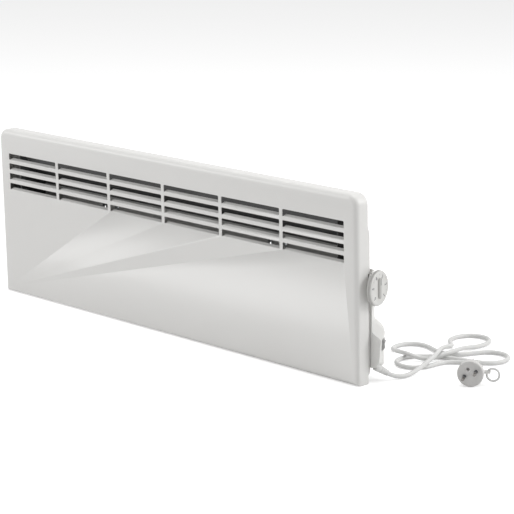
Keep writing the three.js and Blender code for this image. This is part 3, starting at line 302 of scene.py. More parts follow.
class Finish:
    """A node material that is built up node by node round one Principled shader."""

    def __init__(self, name, base, roughness, metallic=0.0, **constants):
        self.material = bpy.data.materials.new(name)
        self.material.use_nodes = True
        self.tree = self.material.node_tree
        self.tree.nodes.clear()
        self.shader = self.tree.nodes.new("ShaderNodeBsdfPrincipled")
        output = self.tree.nodes.new("ShaderNodeOutputMaterial")
        self.tree.links.new(self.shader.outputs["BSDF"], output.inputs["Surface"])
        self.place = self.node("ShaderNodeTexCoord", output="Object")
        self.set("Base Color", (*base, 1.0))
        self.set("Roughness", roughness)
        self.set("Metallic", metallic)
        for socket, value in constants.items():
            self.set(socket.replace("_", " "), value)
        self.material.diffuse_color = (*base, 1.0)

    def plug(self, socket, value):
        """Gives an input a link, or a plain value."""
        if isinstance(value, Wire):
            self.tree.links.new(value.socket, socket)
        else:
            socket.default_value = value

    def set(self, name, value):
        """Sets or links one input of the shader."""
        self.plug(self.shader.inputs[name], value)

    def node(self, kind, settings=None, values=None, output=0):
        """Adds a node: its settings first, then its inputs, and returns one of its outputs as a Wire."""
        made = self.tree.nodes.new(kind)
        for name, value in (settings or {}).items():
            if name == "stops":
                ramp = made.color_ramp
                ramp.elements[0].position, ramp.elements[0].color = value[0]
                ramp.elements[1].position, ramp.elements[1].color = value[-1]
                for position, tint in value[1:-1]:
                    ramp.elements.new(position).color = tint
            else:
                setattr(made, name, value)
        for name, value in (values or {}).items():
            self.plug(made.inputs[name], value)
        return Wire(self, made.outputs[output])

    def stretched(self, scale, turn=(0, 0, 0)):
        """The piece's coordinates, turned and then scaled by three numbers."""
        return self.node("ShaderNodeMapping", {}, {"Vector": self.place, "Rotation": turn, "Scale": scale})

    def noise(self, cells, detail=2.0, rough=0.5, where=None):
        """Noise from 0 to 1 with so many cells to the metre."""
        values = {"Vector": where or self.place, "Scale": cells, "Detail": detail, "Roughness": rough}
        return self.node("ShaderNodeTexNoise", {}, values, output="Fac")

    def cells(self, count, output="Distance", feature="F1"):
        """Voronoi cells, so many to the metre."""
        values = {"Vector": self.place, "Scale": count}
        return self.node("ShaderNodeTexVoronoi", {"feature": feature}, values, output=output)

    def between(self, amount, first, second):
        """A colour between two, by an amount from 0 to 1."""
        values = {MIX_AMOUNT: amount, MIX_FIRST: (*first, 1.0), MIX_SECOND: (*second, 1.0)}
        return self.node("ShaderNodeMix", {"data_type": "RGBA"}, values, output=MIX_RESULT)

    def bump(self, height, depth):
        """Dents the surface by a height from 0 to 1, over a depth in millimetres."""
        values = {"Height": height, "Distance": depth * MM, "Strength": 1.0}
        self.set("Normal", self.node("ShaderNodeBump", {}, values, output="Normal"))


def shade(tint, factor):
    """A colour made lighter or darker."""
    return tuple(min(1.0, channel * factor) for channel in tint)


def enamel_finish():
    """Satin powder coat: a fine orange peel and a little unevenness."""
    tint = finishes().enamel
    finish = Finish("enamel", tint, 0.36, Specular_IOR_Level=0.45, Coat_Roughness=0.25)
    cloud = finish.noise(9, 3)
    fleck = finish.noise(1400, 2)
    tone = cloud * 0.7 + fleck * 0.3
    finish.set("Base Color", finish.between(tone, shade(tint, 0.975), shade(tint, 1.02)))
    finish.set("Roughness", 0.31 + cloud * 0.09 + fleck * 0.04)
    finish.set("Coat Weight", 0.08 + cloud * 0.05)
    peel = finish.noise(620, 2, 0.55)
    finish.bump(peel + fleck * 0.25, finishes().peel_depth)
    return finish.material


def moulded_finish(name, tint, roughness=0.46, grain=1.0, gloss=0.0):
    """Moulded plastic: a fine sparked grain, with faint flow marks in its shine."""
    finish = Finish(name, tint, roughness, Specular_IOR_Level=0.5, Coat_Roughness=0.2)
    flow = finish.noise(26, 4, 0.6, finish.stretched((1, 1, 0.35)))
    spark = finish.cells(1900)
    finish.set("Base Color", finish.between(flow, shade(tint, 0.965), shade(tint, 1.02)))
    finish.set("Roughness", roughness - 0.05 + flow * 0.07 + spark * 0.06)
    finish.set("Coat Weight", gloss + flow * 0.04)
    finish.bump(spark * 0.8 + finish.noise(900, 2) * 0.4, finishes().grain_depth * grain)
    return finish.material


def zinc_finish(name, tint, roughness=0.38, metallic=0.85):
    """Galvanised sheet: spangles of a few millimetres, each with its own tone, and a rolled grain."""
    finish = Finish(name, tint, roughness, metallic)
    spangle = finish.node("ShaderNodeSeparateColor", {}, {"Color": finish.cells(150, "Color")}, output="Red")
    rolled = finish.noise(40, 3, 0.6, finish.stretched((0.05, 1, 12)))
    tone = spangle * 0.7 + rolled * 0.3
    finish.set("Base Color", finish.between(tone, shade(tint, 0.8), shade(tint, 1.15)))
    finish.set("Roughness", roughness - 0.07 + spangle * 0.14 + rolled * 0.08)
    finish.set("Metallic", metallic - spangle * 0.1)
    finish.bump(rolled + spangle * 0.3, 0.01)
    return finish.material


def fin_finish():
    """Rolled aluminium with fine lines along the roll."""
    tint = (0.72, 0.73, 0.74)
    finish = Finish("fin_aluminium", tint, 0.3, 0.95)
    lines = finish.noise(60, 4, 0.7, finish.stretched((1, 30, 0.6)))
    finish.set("Base Color", finish.between(lines, shade(tint, 0.82), shade(tint, 1.08)))
    finish.set("Roughness", 0.24 + lines * 0.16)
    finish.bump(lines, 0.008)
    return finish.material


def ceramic_finish():
    """Unglazed steatite: chalky, with fine specks and kiln toning."""
    tint = (0.79, 0.74, 0.63)
    finish = Finish("steatite", tint, 0.72)
    speck = finish.noise(700, 2) > 0.66
    toning = finish.noise(60, 3)
    finish.set("Base Color", finish.between(toning * 0.8 + speck * 0.2, tint, shade(tint, 0.84)))
    finish.set("Roughness", 0.66 + toning * 0.14)
    finish.bump(finish.noise(1500, 3), 0.03)
    return finish.material


def sheath_finish():
    """Soft PVC sheath: matt, with drawn lines, a little scuffing and handling marks."""
    tint = finishes().lead
    finish = Finish("lead_sheath", tint, 0.5, Specular_IOR_Level=0.45)
    scuff = finish.noise(120, 4, 0.65)
    handled = finish.noise(14, 2)
    tone = scuff * 0.5 + handled * 0.5
    finish.set("Base Color", finish.between(tone, shade(tint, 0.93), shade(tint, 1.05)))
    finish.set("Roughness", 0.4 + scuff * 0.16)
    finish.bump(finish.noise(1600, 2) * 0.6 + scuff, 0.02)
    return finish.material


def ink_finish():
    """Screen-printed ink, slightly uneven in its cover."""
    tint = finishes().ink
    finish = Finish("printed_ink", tint, 0.5)
    cover = finish.noise(1100, 3)
    finish.set("Base Color", finish.between(cover, tint, shade(tint, 2.0)))
    finish.set("Roughness", 0.42 + cover * 0.18)
    return finish.material


def shaded_pin_finish():
    """Plated pin metal over brass, lightly worn by the socket; its colour is darkened to near black as
    painted shade.
    """
    tint = (0.2, 0.19, 0.18)
    finish = Finish("pin_painted_shade", tint, 0.22, 1.0)
    drawn = finish.noise(90, 4, 0.7, finish.stretched((18, 18, 0.7)))
    finish.set("Base Color", finish.between(drawn, shade(tint, 0.78), shade(tint, 1.08)))
    finish.set("Roughness", 0.16 + drawn * 0.2)
    finish.bump(drawn, 0.006)
    return finish.material


MATERIALS = {}


def finish_named(name):
    """Makes each finish once, and gives the same one to every piece that asks."""
    makers = {
        "enamel": enamel_finish,
        "housing": lambda: moulded_finish("housing_plastic", finishes().housing),
        "dial": lambda: moulded_finish("dial_plastic", finishes().dial, 0.34, 0.4, 0.15),
        # Painted shade: the darker grey of the dial's skirt and grip bar.
        "grip": lambda: moulded_finish("dial_skirt_painted_shade", finishes().grip, 0.5, 1.0),
        "switch": lambda: moulded_finish("switch_plastic", finishes().switch, 0.3, 0.3, 0.2),
        "black": lambda: moulded_finish("black_plastic", (0.045, 0.046, 0.05), 0.42),
        "spacer": lambda: moulded_finish("spacer_plastic", (0.16, 0.165, 0.17), 0.5),
        "plug": lambda: moulded_finish("plug_rubber", finishes().plug, 0.5, 1.4),
        "zinc": lambda: zinc_finish("zinc_sheet", finishes().zinc),
        # Painted shade: near-black sheet inside the air chamber.
        "painted_shade": lambda: zinc_finish("chamber_painted_shade", finishes().chamber_shade, 0.55, 0.35),
        "screw": lambda: zinc_finish("screw_zinc", (0.6, 0.61, 0.62), 0.3, 0.95),
        "fins": fin_finish,
        "ceramic": ceramic_finish,
        "sheath": sheath_finish,
        "ink": ink_finish,
        "pin_painted_shade": shaded_pin_finish,
    }
    if name not in MATERIALS:
        MATERIALS[name] = makers[name]()
    return MATERIALS[name]


def paint(piece, name):
    """Gives a piece one finish, in place of any it had."""
    piece.data.materials.clear()
    piece.data.materials.append(finish_named(name))
    return piece


# ---- Modelling helpers ----------------------------------------------------------------------------------
def pick(*pieces):
    """Selects these pieces only, and makes the first one active."""
    bpy.ops.object.select_all(action="DESELECT")
    for piece in pieces:
        piece.select_set(True)
    bpy.context.view_layer.objects.active = pieces[0]
    return pieces[0]


def edit(piece, mode="FACE"):
    """Opens a piece in edit mode with nothing selected."""
    pick(piece)
    bpy.ops.object.mode_set(mode="EDIT")
    bpy.ops.mesh.select_mode(type=mode)
    bpy.ops.mesh.select_all(action="DESELECT")


def close():
    """Leaves edit mode."""
    bpy.ops.object.mode_set(mode="OBJECT")


def mark(piece, faces=None, edges=None):
    """Selects the faces or edges of an open piece that a test picks."""
    mesh = bmesh.from_edit_mesh(piece.data)
    mesh.normal_update()
    chosen = [f for f in mesh.faces if faces(f)] if faces else [e for e in mesh.edges if edges(e)]
    for element in chosen:
        element.select_set(True)
    mesh.select_flush(True)
    bmesh.update_edit_mesh(piece.data)
    return len(chosen)


def soften(piece, radius, segments=2, angle=30):
    """Rounds the sharp edges by a radius in millimetres, and applies it."""
    pick(piece)
    bevel = piece.modifiers.new("soft_edges", "BEVEL")
    bevel.width = radius * MM
    bevel.segments = segments
    bevel.limit_method = "ANGLE"
    bevel.angle_limit = math.radians(angle)
    bevel.harden_normals = False
    bpy.ops.object.modifier_apply(modifier=bevel.name)


def smooth(piece, angle=32):
    """Shades the piece smooth up to an angle between its faces."""
    pick(piece)
    bpy.ops.object.shade_smooth_by_angle(angle=math.radians(angle))


def settle(piece, matrix=None):
    """Applies a piece's place, so that its object sits at the origin."""
    if matrix is not None:
        piece.matrix_world = matrix @ piece.matrix_world
    pick(piece)
    bpy.ops.object.transform_apply(location=True, rotation=True, scale=True)
    return piece


def carve(piece, tool, operation="DIFFERENCE"):
    """Cuts, joins or meets a piece with another one, which is used up."""
    pick(piece)
    carving = piece.modifiers.new("carving", "BOOLEAN")
    carving.operation = operation
    carving.solver = "EXACT"
    carving.object = tool
    bpy.ops.object.modifier_apply(modifier=carving.name)
    bpy.data.objects.remove(tool)


def block(name, low, high):
    """A cuboid between two corners in millimetres, as a start for shaping."""
    bpy.ops.object.select_all(action="DESELECT")
    middle = (Vector(low) + Vector(high)) / 2 * MM
    bpy.ops.mesh.primitive_cube_add(size=1, location=middle)
    piece = bpy.context.object
    piece.name = name
    piece.scale = (Vector(high) - Vector(low)) * MM
    return settle(piece)


def turned(name, profile, sides=48):
    """A round piece: a circle drawn out ring by ring along Z, from [radius, height] pairs in millimetres."""
    bpy.ops.object.select_all(action="DESELECT")
    radius, height = profile[0]
    bpy.ops.mesh.primitive_circle_add(
        vertices=sides, radius=radius * MM, fill_type="NGON", location=(0, 0, height * MM)
    )
    piece = bpy.context.object
    piece.name = name
    settle(piece)
    edit(piece)
    bpy.ops.mesh.select_all(action="SELECT")
    bpy.ops.mesh.flip_normals()
    for (before, low), (after, high) in zip(profile, profile[1:]):
        bpy.ops.mesh.extrude_region_move(TRANSFORM_OT_translate={"value": (0, 0, (high - low) * MM)})
        if after != before:
            ratio = after / before
            bpy.ops.transform.resize(value=(ratio, ratio, 1), center_override=(0, 0, high * MM))
    bpy.ops.mesh.select_all(action="SELECT")
    bpy.ops.mesh.normals_make_consistent(inside=False)
    close()
    return piece


def dressed(node, name, finish, slot, soft=0.0, angle=32, reshape=None):
    """A finer copy of a CAD node: merged, reshaped if asked, its flat faces made whole, its edges eased."""
    body = body_of(frame["nodes"][node])[0]
    piece = bpy.data.objects.new(name, frame["nodes"][node].data.copy())
    bpy.context.scene.collection.objects.link(piece)
    edit(piece)
    bpy.ops.mesh.select_all(action="SELECT")
    bpy.ops.mesh.remove_doubles(threshold=0.00002)
    if reshape:
        mesh = bmesh.from_edit_mesh(piece.data)
        for vertex in mesh.verts:
            vertex.co = at(*reshape((vertex.co - CASE_ORIGIN) / MM))
        bmesh.update_edit_mesh(piece.data)
    bpy.ops.mesh.dissolve_limited(angle_limit=math.radians(0.4))
    close()
    if soft:
        soften(piece, soft)
    smooth(piece, angle)
    paint(piece, finish)
    return ridden(piece, body, slot, node)


def ridden(piece, body, slot, *nodes):
    """Puts a finished piece on its body and hides the CAD nodes that it stands for. The slot it is given is
    not used.
    """
    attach(piece, body)
    if nodes:
        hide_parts(*nodes)
    return piece


# ---- Operators --------------------------------------------------------------------------------------------
class HEATER_OT_camera(bpy.types.Operator):
    """Sets the camera at the photograph's viewing angle"""

    bl_idname = "heater.camera"
    bl_label = "Set camera"

    def execute(self, context):
        stage = context.scene.heater_stage
        camera = bpy.data.objects.new("camera", bpy.data.cameras.new("camera"))
        context.scene.collection.objects.link(camera)
        camera.location = stage.camera_at
        camera.rotation_euler = stage.camera_turn
        camera.data.sensor_width = 36
        camera.data.lens = stage.focal_length
        camera.data.clip_end = 60
        context.scene.camera = camera
        return {"FINISHED"}


class HEATER_OT_lead(bpy.types.Operator):
    """Lays the mains lead, with its boot, plug, pins and pull ring"""

    bl_idname = "heater.lead"
    bl_label = "Lay mains lead"

    def execute(self, context):
        boot = self.boot()
        plug_place = pose(at(*PLUG_FACE), PLUG_AIM)
        pieces = [boot, self.plug(plug_place), self.ring(plug_place)]
        pieces += [self.pin(plug_place, side) for side in (-1, 1)]
        lead, way = self.lead()
        length = sum((b - a).length for a, b in zip(way, way[1:]))
        return {"FINISHED"}

    def route(self):
        """The lead's middle line as points in row metres: a cubic B-spline pinned at both ends."""
        floor = LEAD_DIAMETER / 2 + LEAD_LIFT
        start = BOOT_ROOT + BOOT_AIM * (BOOT_LENGTH + 0.3)
        end = PLUG_FACE - PLUG_AIM * (PLUG_TAIL + 0.3)
        guides = [start, start + BOOT_AIM * LEAD_ARM]
        guides += [Vector((x, y, floor + level * LEAD_LAYER)) for x, y, level in LEAD_WAY]
        guides += [end - PLUG_AIM * LEAD_ARM, end]
        spans = len(guides) - 3
        knots = [0.0] * 3 + [i / spans for i in range(spans + 1)] + [1.0] * 3
        way = []
        for step in range(ROUTE_POINTS):
            u = min(step / (ROUTE_POINTS - 1), 1 - 1e-9)
            k = 3 + int(u * spans)
            nearby = [guides[k - 3 + j].copy() for j in range(4)]
            for degree in range(1, 4):
                for j in range(3, degree - 1, -1):
                    i = k - 3 + j
                    share = (u - knots[i]) / (knots[i + 4 - degree] - knots[i])
                    nearby[j] = nearby[j - 1].lerp(nearby[j], share)
            way.append(at(*nearby[3]))
        return way

    def lead(self):
        """A round tube on the route."""
        way = self.route()
        curve = bpy.data.curves.new("mains_lead", "CURVE")
        curve.dimensions = "3D"
        curve.bevel_depth = LEAD_DIAMETER / 2 * MM
        curve.bevel_resolution = 6
        curve.use_fill_caps = True
        spline = curve.splines.new("POLY")
        spline.points.add(len(way) - 1)
        for point, place in zip(spline.points, way):
            point.co = (*place, 1)
        lead = bpy.data.objects.new("mains_lead", curve)
        bpy.context.scene.collection.objects.link(lead)
        curve.materials.append(finish_named("sheath"))
        return ridden(lead, "heater", "cord_sheath", "mains_cord"), way

    def boot(self):
        """A tapered boot with four flexing grooves, leaving the box's underside."""
        profile = [(6, -5), (6, 0)]
        for height in (3.4, 7.4, 11.4, 15.4):
            radius = 5.95 - height * 0.075
            profile += [(radius, height), (radius - 0.9, height + 0.5), (radius - 0.9, height + 1.7)]
            profile += [(radius - 0.1, height + 2.2)]
        profile += [(4.5, BOOT_LENGTH - 0.5), (4.2, BOOT_LENGTH), (3.6, BOOT_LENGTH)]
        boot = turned("lead_boot", profile, 40)
        soften(boot, 0.18)
        smooth(boot, 40)
        settle(boot, pose(at(*BOOT_ROOT), BOOT_AIM))
        paint(boot, "sheath")
        return ridden(boot, "heater", "cord_sheath", "strain_relief")

    def plug(self, place):
        """A round rubber plug: flanged face, waisted grip with ribs, ribbed neck and a lug for the ring."""
        profile = [(3.8, -PLUG_TAIL), (4.6, -PLUG_TAIL), (4.7, -48.5), (5.0, -46), (5.4, -43.5), (5.8, -40)]
        profile += [(6.5, -36.5), (8, -36), (9.6, -34.4), (11, -31), (12.6, -26), (14, -20.5), (14.7, -16)]
        profile += [(15.2, -12), (17.4, -10.4), (19.4, -9), (20, -8), (20, -1.6), (19.6, -0.6), (18.6, 0)]
        profile += [(17.8, 0), (17.6, -0.5), (1, -0.5)]
        plug = turned("plug_shell", profile, 64)
        for turn in range(10):
            angle = math.radians(36 * turn + 18)
            rib = block("rib", (10.4, -0.7, -32), (15.6, 0.7, -14))
            soften(rib, 0.4)
            rib.rotation_euler = (0, 0, angle)
            carve(plug, settle(rib), "UNION")
        for height in (-47, -44.2, -41.4, -38.6):
            ring = turned("groove", [(6.8, height - 0.45), (6.8, height + 0.45)], 32)
            depth = 4.9 + (height + 47) * 0.12
            core = turned("core", [(depth, height - 2), (depth, height + 2)], 32)
            carve(ring, core)
            carve(plug, ring)
        lug = block("lug", (8, -1.6, -21.1), (27.8, 1.6, -11.9))
        eye = block("eye", (20, -6, -18.9), (26, 6, -14.1))
        carve(lug, eye)
        soften(lug, 0.5)
        carve(plug, lug, "UNION")
        for side in (-1, 1):
            hole = turned("hole", [(2.75, -6.9), (2.75, 2)], 24)
            carve(plug, settle(hole, self.pin_line(side * PIN_OFFSET, 0)))
        earth = turned("earth", [(2.6, -5.9), (2.6, 2)], 24)
        carve(plug, settle(earth, self.pin_line(0, 8)))
        soften(plug, 0.25)
        smooth(plug, 35)
        settle(plug, place)
        paint(plug, "plug")
        return ridden(plug, "heater", "plug_plastic", "plug_body")

    @staticmethod
    def pin_line(along, across):
        """A place on the plug's face, given along and across the line through both pins."""
        turn = Matrix.Rotation(math.radians(PIN_LINE_TURN), 4, "Z")
        return turn @ Matrix.Translation(Vector((along, across, 0)) * MM)

    def pin(self, place, side):
        """A plated pin with a dark sleeve at its root."""
        name = "plug_prong_left" if side < 0 else "plug_prong_right"
        pin = turned(name, [(2.4, -6.7), (2.4, 9.4), (2.25, 9.6), (2.25, 17.4), (1.9, 18.4), (1.1, 19)], 32)
        smooth(pin, 35)
        settle(pin, place @ self.pin_line(side * PIN_OFFSET, 0))
        pin.data.materials.append(finish_named("black"))
        # The plated part of the pin takes the near-black metal, which is painted shade.
        pin.data.materials.append(finish_named("pin_painted_shade"))
        sleeve_end = at(*PLUG_FACE) + PLUG_AIM * 9.5 * MM
        for face in pin.data.polygons:
            face.material_index = int((Vector(face.center) - sleeve_end).dot(PLUG_AIM) > 0)
        return ridden(pin, "heater", "pin_metal", "plug_pin_left" if side < 0 else "plug_pin_right")

    def ring(self, place):
        """The moulded pull ring through the plug's lug."""
        bpy.ops.object.select_all(action="DESELECT")
        bpy.ops.mesh.primitive_torus_add(
            major_radius=9.5 * MM, minor_radius=1.7 * MM, major_segments=64, minor_segments=20,
            location=(9.5 * MM, 0, 0),
        )
        ring = settle(bpy.context.object)
        ring.name = "pull_ring"
        smooth(ring, 60)
        lean = Matrix.Translation(Vector((23, 0, -16.5)) * MM) @ Matrix.Rotation(math.radians(-25), 4, "Z")
        settle(ring, place @ lean)
        paint(ring, "sheath")
        return ridden(ring, "heater", "cord_sheath", "plug_ring")


class HEATER_OT_panel(bpy.types.Operator):
    """Dresses the folded front panel, the pressed pan and the bottom grille"""

    bl_idname = "heater.panel"
    bl_label = "Dress panel"

    def execute(self, context):
        dressed("front_casing", "panel_front", "enamel", "casing_paint", angle=40, reshape=self.opened)
        dressed("rear_cover", "panel_pan", "enamel", "casing_paint", angle=32)
        dressed("inlet_grille", "foot_grille", "enamel", "casing_paint", angle=32)
        return {"FINISHED"}

    @staticmethod
    def opened(point):
        """Presses the louvres' lips flatter, so that each slot stands open above its lip."""
        if LIP_FRONT < point.y < LIP_BACK and LOUVRE_LOW < point.z < LOUVRE_HIGH:
            foot = LOUVRE_FOOT - LOUVRE_PITCH * round((LOUVRE_FOOT + LIP_RISE / 2 - point.z) / LOUVRE_PITCH)
            if 0 < point.z - foot < LIP_RISE + 1:
                point.z = foot + (point.z - foot) * LIP_FLATTENING
        return point


class HEATER_OT_inside(bpy.types.Operator):
    """Gives the parts inside the air chamber their metals and ceramics, with a near-black painted shade on
    the end plates, baffle and element sheath
    """

    bl_idname = "heater.inside"
    bl_label = "Dress inside"

    def execute(self, context):
        # The end plates, baffle and element sheath take the near-black painted shade of the chamber.
        coats = {
            "end_plate_left": "painted_shade", "end_plate_right": "painted_shade", "air_baffle": "painted_shade",
            "element_sheath": "painted_shade", "element_fins": "fins", "ceramic_bush_left": "ceramic",
            "ceramic_bush_right": "ceramic", "thermal_cutout": "black", "thermostat_body": "black",
            "terminal_block": "ceramic", "thermostat_shaft": "screw",
        }
        for node, coat in coats.items():
            paint(frame["nodes"][node], coat)
        return {"FINISHED"}


class HEATER_OT_controls(bpy.types.Operator):
    """Dresses the side housing and the connection box, and models the rocker switch"""

    bl_idname = "heater.controls"
    bl_label = "Dress controls"

    def execute(self, context):
        dressed("control_housing", "side_housing", "housing", "grey_plastic", angle=38, reshape=self.slimmed)
        dressed("connection_box", "side_box", "housing", "grey_plastic", angle=38, reshape=self.drafted)
        dressed("switch_body", "switch_rim", "switch", "dark_plastic", angle=35)
        self.rocker()
        return {"FINISHED"}

    @staticmethod
    def slimmed(point):
        """Flattens the front of the boss, so that the dial hides it, and lowers the housing's top."""
        axis = Vector(joints["thermostat_turn"]["axis"])
        centre = (Vector(joints["thermostat_turn"]["pos_m"]) - CASE_ORIGIN) / MM
        along = (point - centre).dot(axis)
        outward = point - centre - axis * along
        if BOSS_BACK < along < 0 and BOSS_NECK < outward.length < BOSS_FOOT and point.y < BOSS_SIDE:
            point.y = BOSS_SIDE + (point.y - BOSS_SIDE) * BOSS_FLATTENING
            return point
        if point.z > HOUSING_BEND:
            point.z = HOUSING_BEND + (point.z - HOUSING_BEND) * HOUSING_LOWERING
        return point

    @staticmethod
    def drafted(point):
        """Leans the foot of the connection box's outer face inwards."""
        axis = Vector(joints["switch_rock"]["axis"])
        out = Vector((axis.y, -axis.x, 0))
        face = (Vector(joints["switch_rock"]["pos_m"]) - CASE_ORIGIN) / MM + out * ROCKER_PIVOT_DEPTH
        if (point - face).dot(out) > -BOX_SKIN and point.z < DRAFT_HEIGHT:
            return point - out * DRAFT * (DRAFT_HEIGHT - point.z) / (DRAFT_HEIGHT - BOX_FOOT)
        return point

    def rocker(self):
        """Two paddles that meet in a shallow valley, with a line and a ring printed on them."""
        joint = joints["switch_rock"]
        run = Vector(joint["axis"])
        out = Vector((run.y, -run.x, 0))
        pivot = Vector((0, 0, ROCKER_PIVOT_DEPTH * MM))
        place = pose(Vector(joint["pos_m"]) + out * ROCKER_PIVOT_DEPTH * MM, out)
        tilt = Matrix.Translation(-pivot) @ Matrix.Rotation(math.radians(ROCKER_REST_TILT), 4, "X")
        tilt = tilt @ Matrix.Translation(pivot)
        piece = block(
            "switch_rocker", (-ROCKER_HALF_WIDTH, -ROCKER_HALF_LENGTH, -2.4),
            (ROCKER_HALF_WIDTH, ROCKER_HALF_LENGTH, 3.4),
        )
        edit(piece, "EDGE")
        mark(piece, edges=lambda e: abs(e.verts[0].co.y - e.verts[1].co.y) > 0.001)
        bpy.ops.mesh.subdivide(number_cuts=7)
        close()
        edit(piece, "VERT")
        mesh = bmesh.from_edit_mesh(piece.data)
        for vertex in mesh.verts:
            if vertex.co.z > 0:
                reach = min(1, abs(vertex.co.y) / (ROCKER_HALF_LENGTH * MM))
                vertex.co.z -= VALLEY_DEPTH * MM * (1 - reach ** VALLEY_POWER)
        bmesh.update_edit_mesh(piece.data)
        close()
        soften(piece, 0.35, 3)
        smooth(piece, 30)
        settle(piece, place @ tilt)
        paint(piece, "switch")
        ridden(piece, "rocker", "dark_plastic", "power_rocker")
        for name, letter, height in (("mark_on", "I", 3.6), ("mark_off", "O", -3.6)):
            sign = printed(name, letter, 3.2)
            settle(sign, place @ tilt @ Matrix.Translation((0, height * MM, 2.95 * MM)))
            ridden(sign, "rocker", "dark_plastic")


def printed(name, text, height):
    """A numeral or sign of a given height in millimetres, as a thin printed film centred on the origin."""
    curve = bpy.data.curves.new(name, "FONT")
    curve.body = text
    curve.size = height * MM * 1.4
    curve.align_x = "CENTER"
    curve.align_y = "CENTER"
    curve.extrude = 0.03 * MM
    curve.offset = 0.14 * MM
    curve.resolution_u = 6
    film = bpy.data.objects.new(name, curve)
    bpy.context.scene.collection.objects.link(film)
    pick(film)
    bpy.ops.object.convert(target="MESH")
    film = bpy.context.object
    paint(film, "ink")
    return film


class HEATER_OT_dial(bpy.types.Operator):
    """Models the thermostat dial with its ribs, dish, grip, scale and pointer"""

    bl_idname = "heater.dial"
    bl_label = "Model dial"

    def execute(self, context):
        joint = joints["thermostat_turn"]
        axis = Vector(joint["axis"])
        place = pose(Vector(joint["pos_m"]) + axis * DIAL_STANDOFF * MM, axis)
        knob = self.knob()
        paint(knob, "dial")
        # The skirt's sides and the grip bar get the darker grip colour, which is painted shade.
        knob.data.materials.append(finish_named("grip"))
        for face in knob.data.polygons:
            x, y, z = face.center / MM
            skirt = face.center.xy.length > SKIRT_RADIUS * MM and abs(face.normal.z) < 0.5
            bar = z > DIAL_FACE + 0.3 and abs(x) < GRIP_HALF_WIDTH + 0.1 and abs(y) < GRIP_HALF_LENGTH + 0.1
            face.material_index = int(skirt or bar)
        settle(knob, place)
        ridden(knob, "dial", "knob_plastic", "thermostat_knob")
        self.scale(place)
        return {"FINISHED"}

    def knob(self):
        """A ribbed skirt under a dished face with a rounded grip bar across it."""
        ribs = shapes().dial_ribs
        profile = [(14.6, -2.2), (15.2, -1.8), (15.4, 0), (25.8, 0.1), (26.6, 0.6), (26.9, 1.6), (26.6, 4.8)]
        profile += [(25.9, 6.1), (24.6, 6.9), (23.2, 7), (22.4, 6.8), (21.4, DIAL_FACE), (12, 6.2)]
        knob = turned("dial_knob", profile, ribs * 2)

        def between_ribs(face):
            middle = face.calc_center_median()
            if abs(face.normal.z) > 0.3 or middle.xy.length < 25 * MM or not 1.5 * MM < middle.z < 5 * MM:
                return False
            turn = math.degrees(math.atan2(middle.y, middle.x)) % 360
            return int(turn / 360 * ribs * 2) % 2 == 0

        edit(knob)
        mark(knob, faces=between_ribs)
        bpy.ops.mesh.inset(use_individual=True, thickness=0.35 * MM, depth=-0.55 * MM)
        close()
        bar = block(
            "grip", (-GRIP_HALF_WIDTH, -GRIP_HALF_LENGTH, GRIP_FOOT),
            (GRIP_HALF_WIDTH, GRIP_HALF_LENGTH, GRIP_TOP),
        )
        edit(bar, "EDGE")
        mark(bar, edges=lambda e: abs(e.verts[0].co.z - e.verts[1].co.z) > 0.001)
        bpy.ops.mesh.bevel(offset=3.4 * MM, segments=6, affect="EDGES")
        close()
        soften(bar, 0.9, 3, 60)
        carve(knob, bar, "UNION")
        soften(knob, 0.2, 2, 35)
        smooth(knob, 30)
        return knob

    def scale(self, place):
        """Six numerals, fine ticks between them and a line on the grip."""
        for step in range(NUMERAL_COUNT):
            angle = math.radians(FIRST_NUMERAL_TURN - NUMERAL_STEP * step)
            x = NUMERAL_RADIUS * math.sin(angle)
            y = NUMERAL_RADIUS * math.cos(angle)
            spot = Vector((x, y, DIAL_FACE)) * MM
            numeral = printed(f"numeral_{step + 1}", str(step + 1), shapes().numeral_height)
            settle(numeral, place @ Matrix.Translation(spot) @ Matrix.Rotation(-angle, 4, "Z"))
            ridden(numeral, "dial", "knob_plastic")
        for step in range(TICK_COUNT):
            angle = math.radians(FIRST_NUMERAL_TURN - TICK_STEP * step)
            outer = 21.2 if step % 2 else 21.9
            tick = block(f"tick_{step + 1}", (-0.3, 20.3, DIAL_FACE), (0.3, outer, DIAL_FACE + 0.12))
            soften(tick, 0.05)
            paint(tick, "ink")
            settle(tick, place @ Matrix.Rotation(-angle, 4, "Z"))
            ridden(tick, "dial", "knob_plastic")
        line = block("grip_line", (-0.8, 5, GRIP_TOP - 0.03), (0.8, 14.6, GRIP_TOP + 0.06))
        soften(line, 0.03)
        paint(line, "ink")
        settle(line, place)
        ridden(line, "dial", "knob_plastic")


class HEATER_OT_fittings(bpy.types.Operator):
    """Dresses the wall bracket and the spacers, and models the cover screws"""

    bl_idname = "heater.fittings"
    bl_label = "Dress fittings"

    def execute(self, context):
        dressed("wall_bracket", "bracket_sheet", "zinc", "zinc_steel", soft=0.2)
        dressed("rear_spacer_left", "spacer_left", "spacer", "dark_plastic", soft=0.6)
        dressed("rear_spacer_right", "spacer_right", "spacer", "dark_plastic", soft=0.6)
        for number in range(1, 5):
            self.screw(number)
        return {"FINISHED"}

    def screw(self, number):
        """A pan-head screw with a cross recess, driven in from behind."""
        low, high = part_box(f"cover_screw_{number}")
        profile = [(1.2, -7), (1.7, -6.2), (1.7, 0), (3.55, 0)]
        profile += [(3.6, 0.5), (3.3, 1.2), (2.6, 1.7), (1.4, 1.95)]
        screw = turned(f"pan_screw_{number}", profile, 32)
        for turn in (0, 90):
            slot = block("slot", (-1.9, -0.35, 0.7), (1.9, 0.35, 3))
            slot.rotation_euler = (0, 0, math.radians(turn + 20 * number))
            carve(screw, settle(slot))
        soften(screw, 0.08)
        smooth(screw, 35)
        middle = (low + high) / 2
        settle(screw, pose(Vector((middle.x, high.y - 2 * MM, middle.z)), (0, 1, 0)))
        paint(screw, "screw")
        ridden(screw, "heater", "zinc_steel", f"cover_screw_{number}")


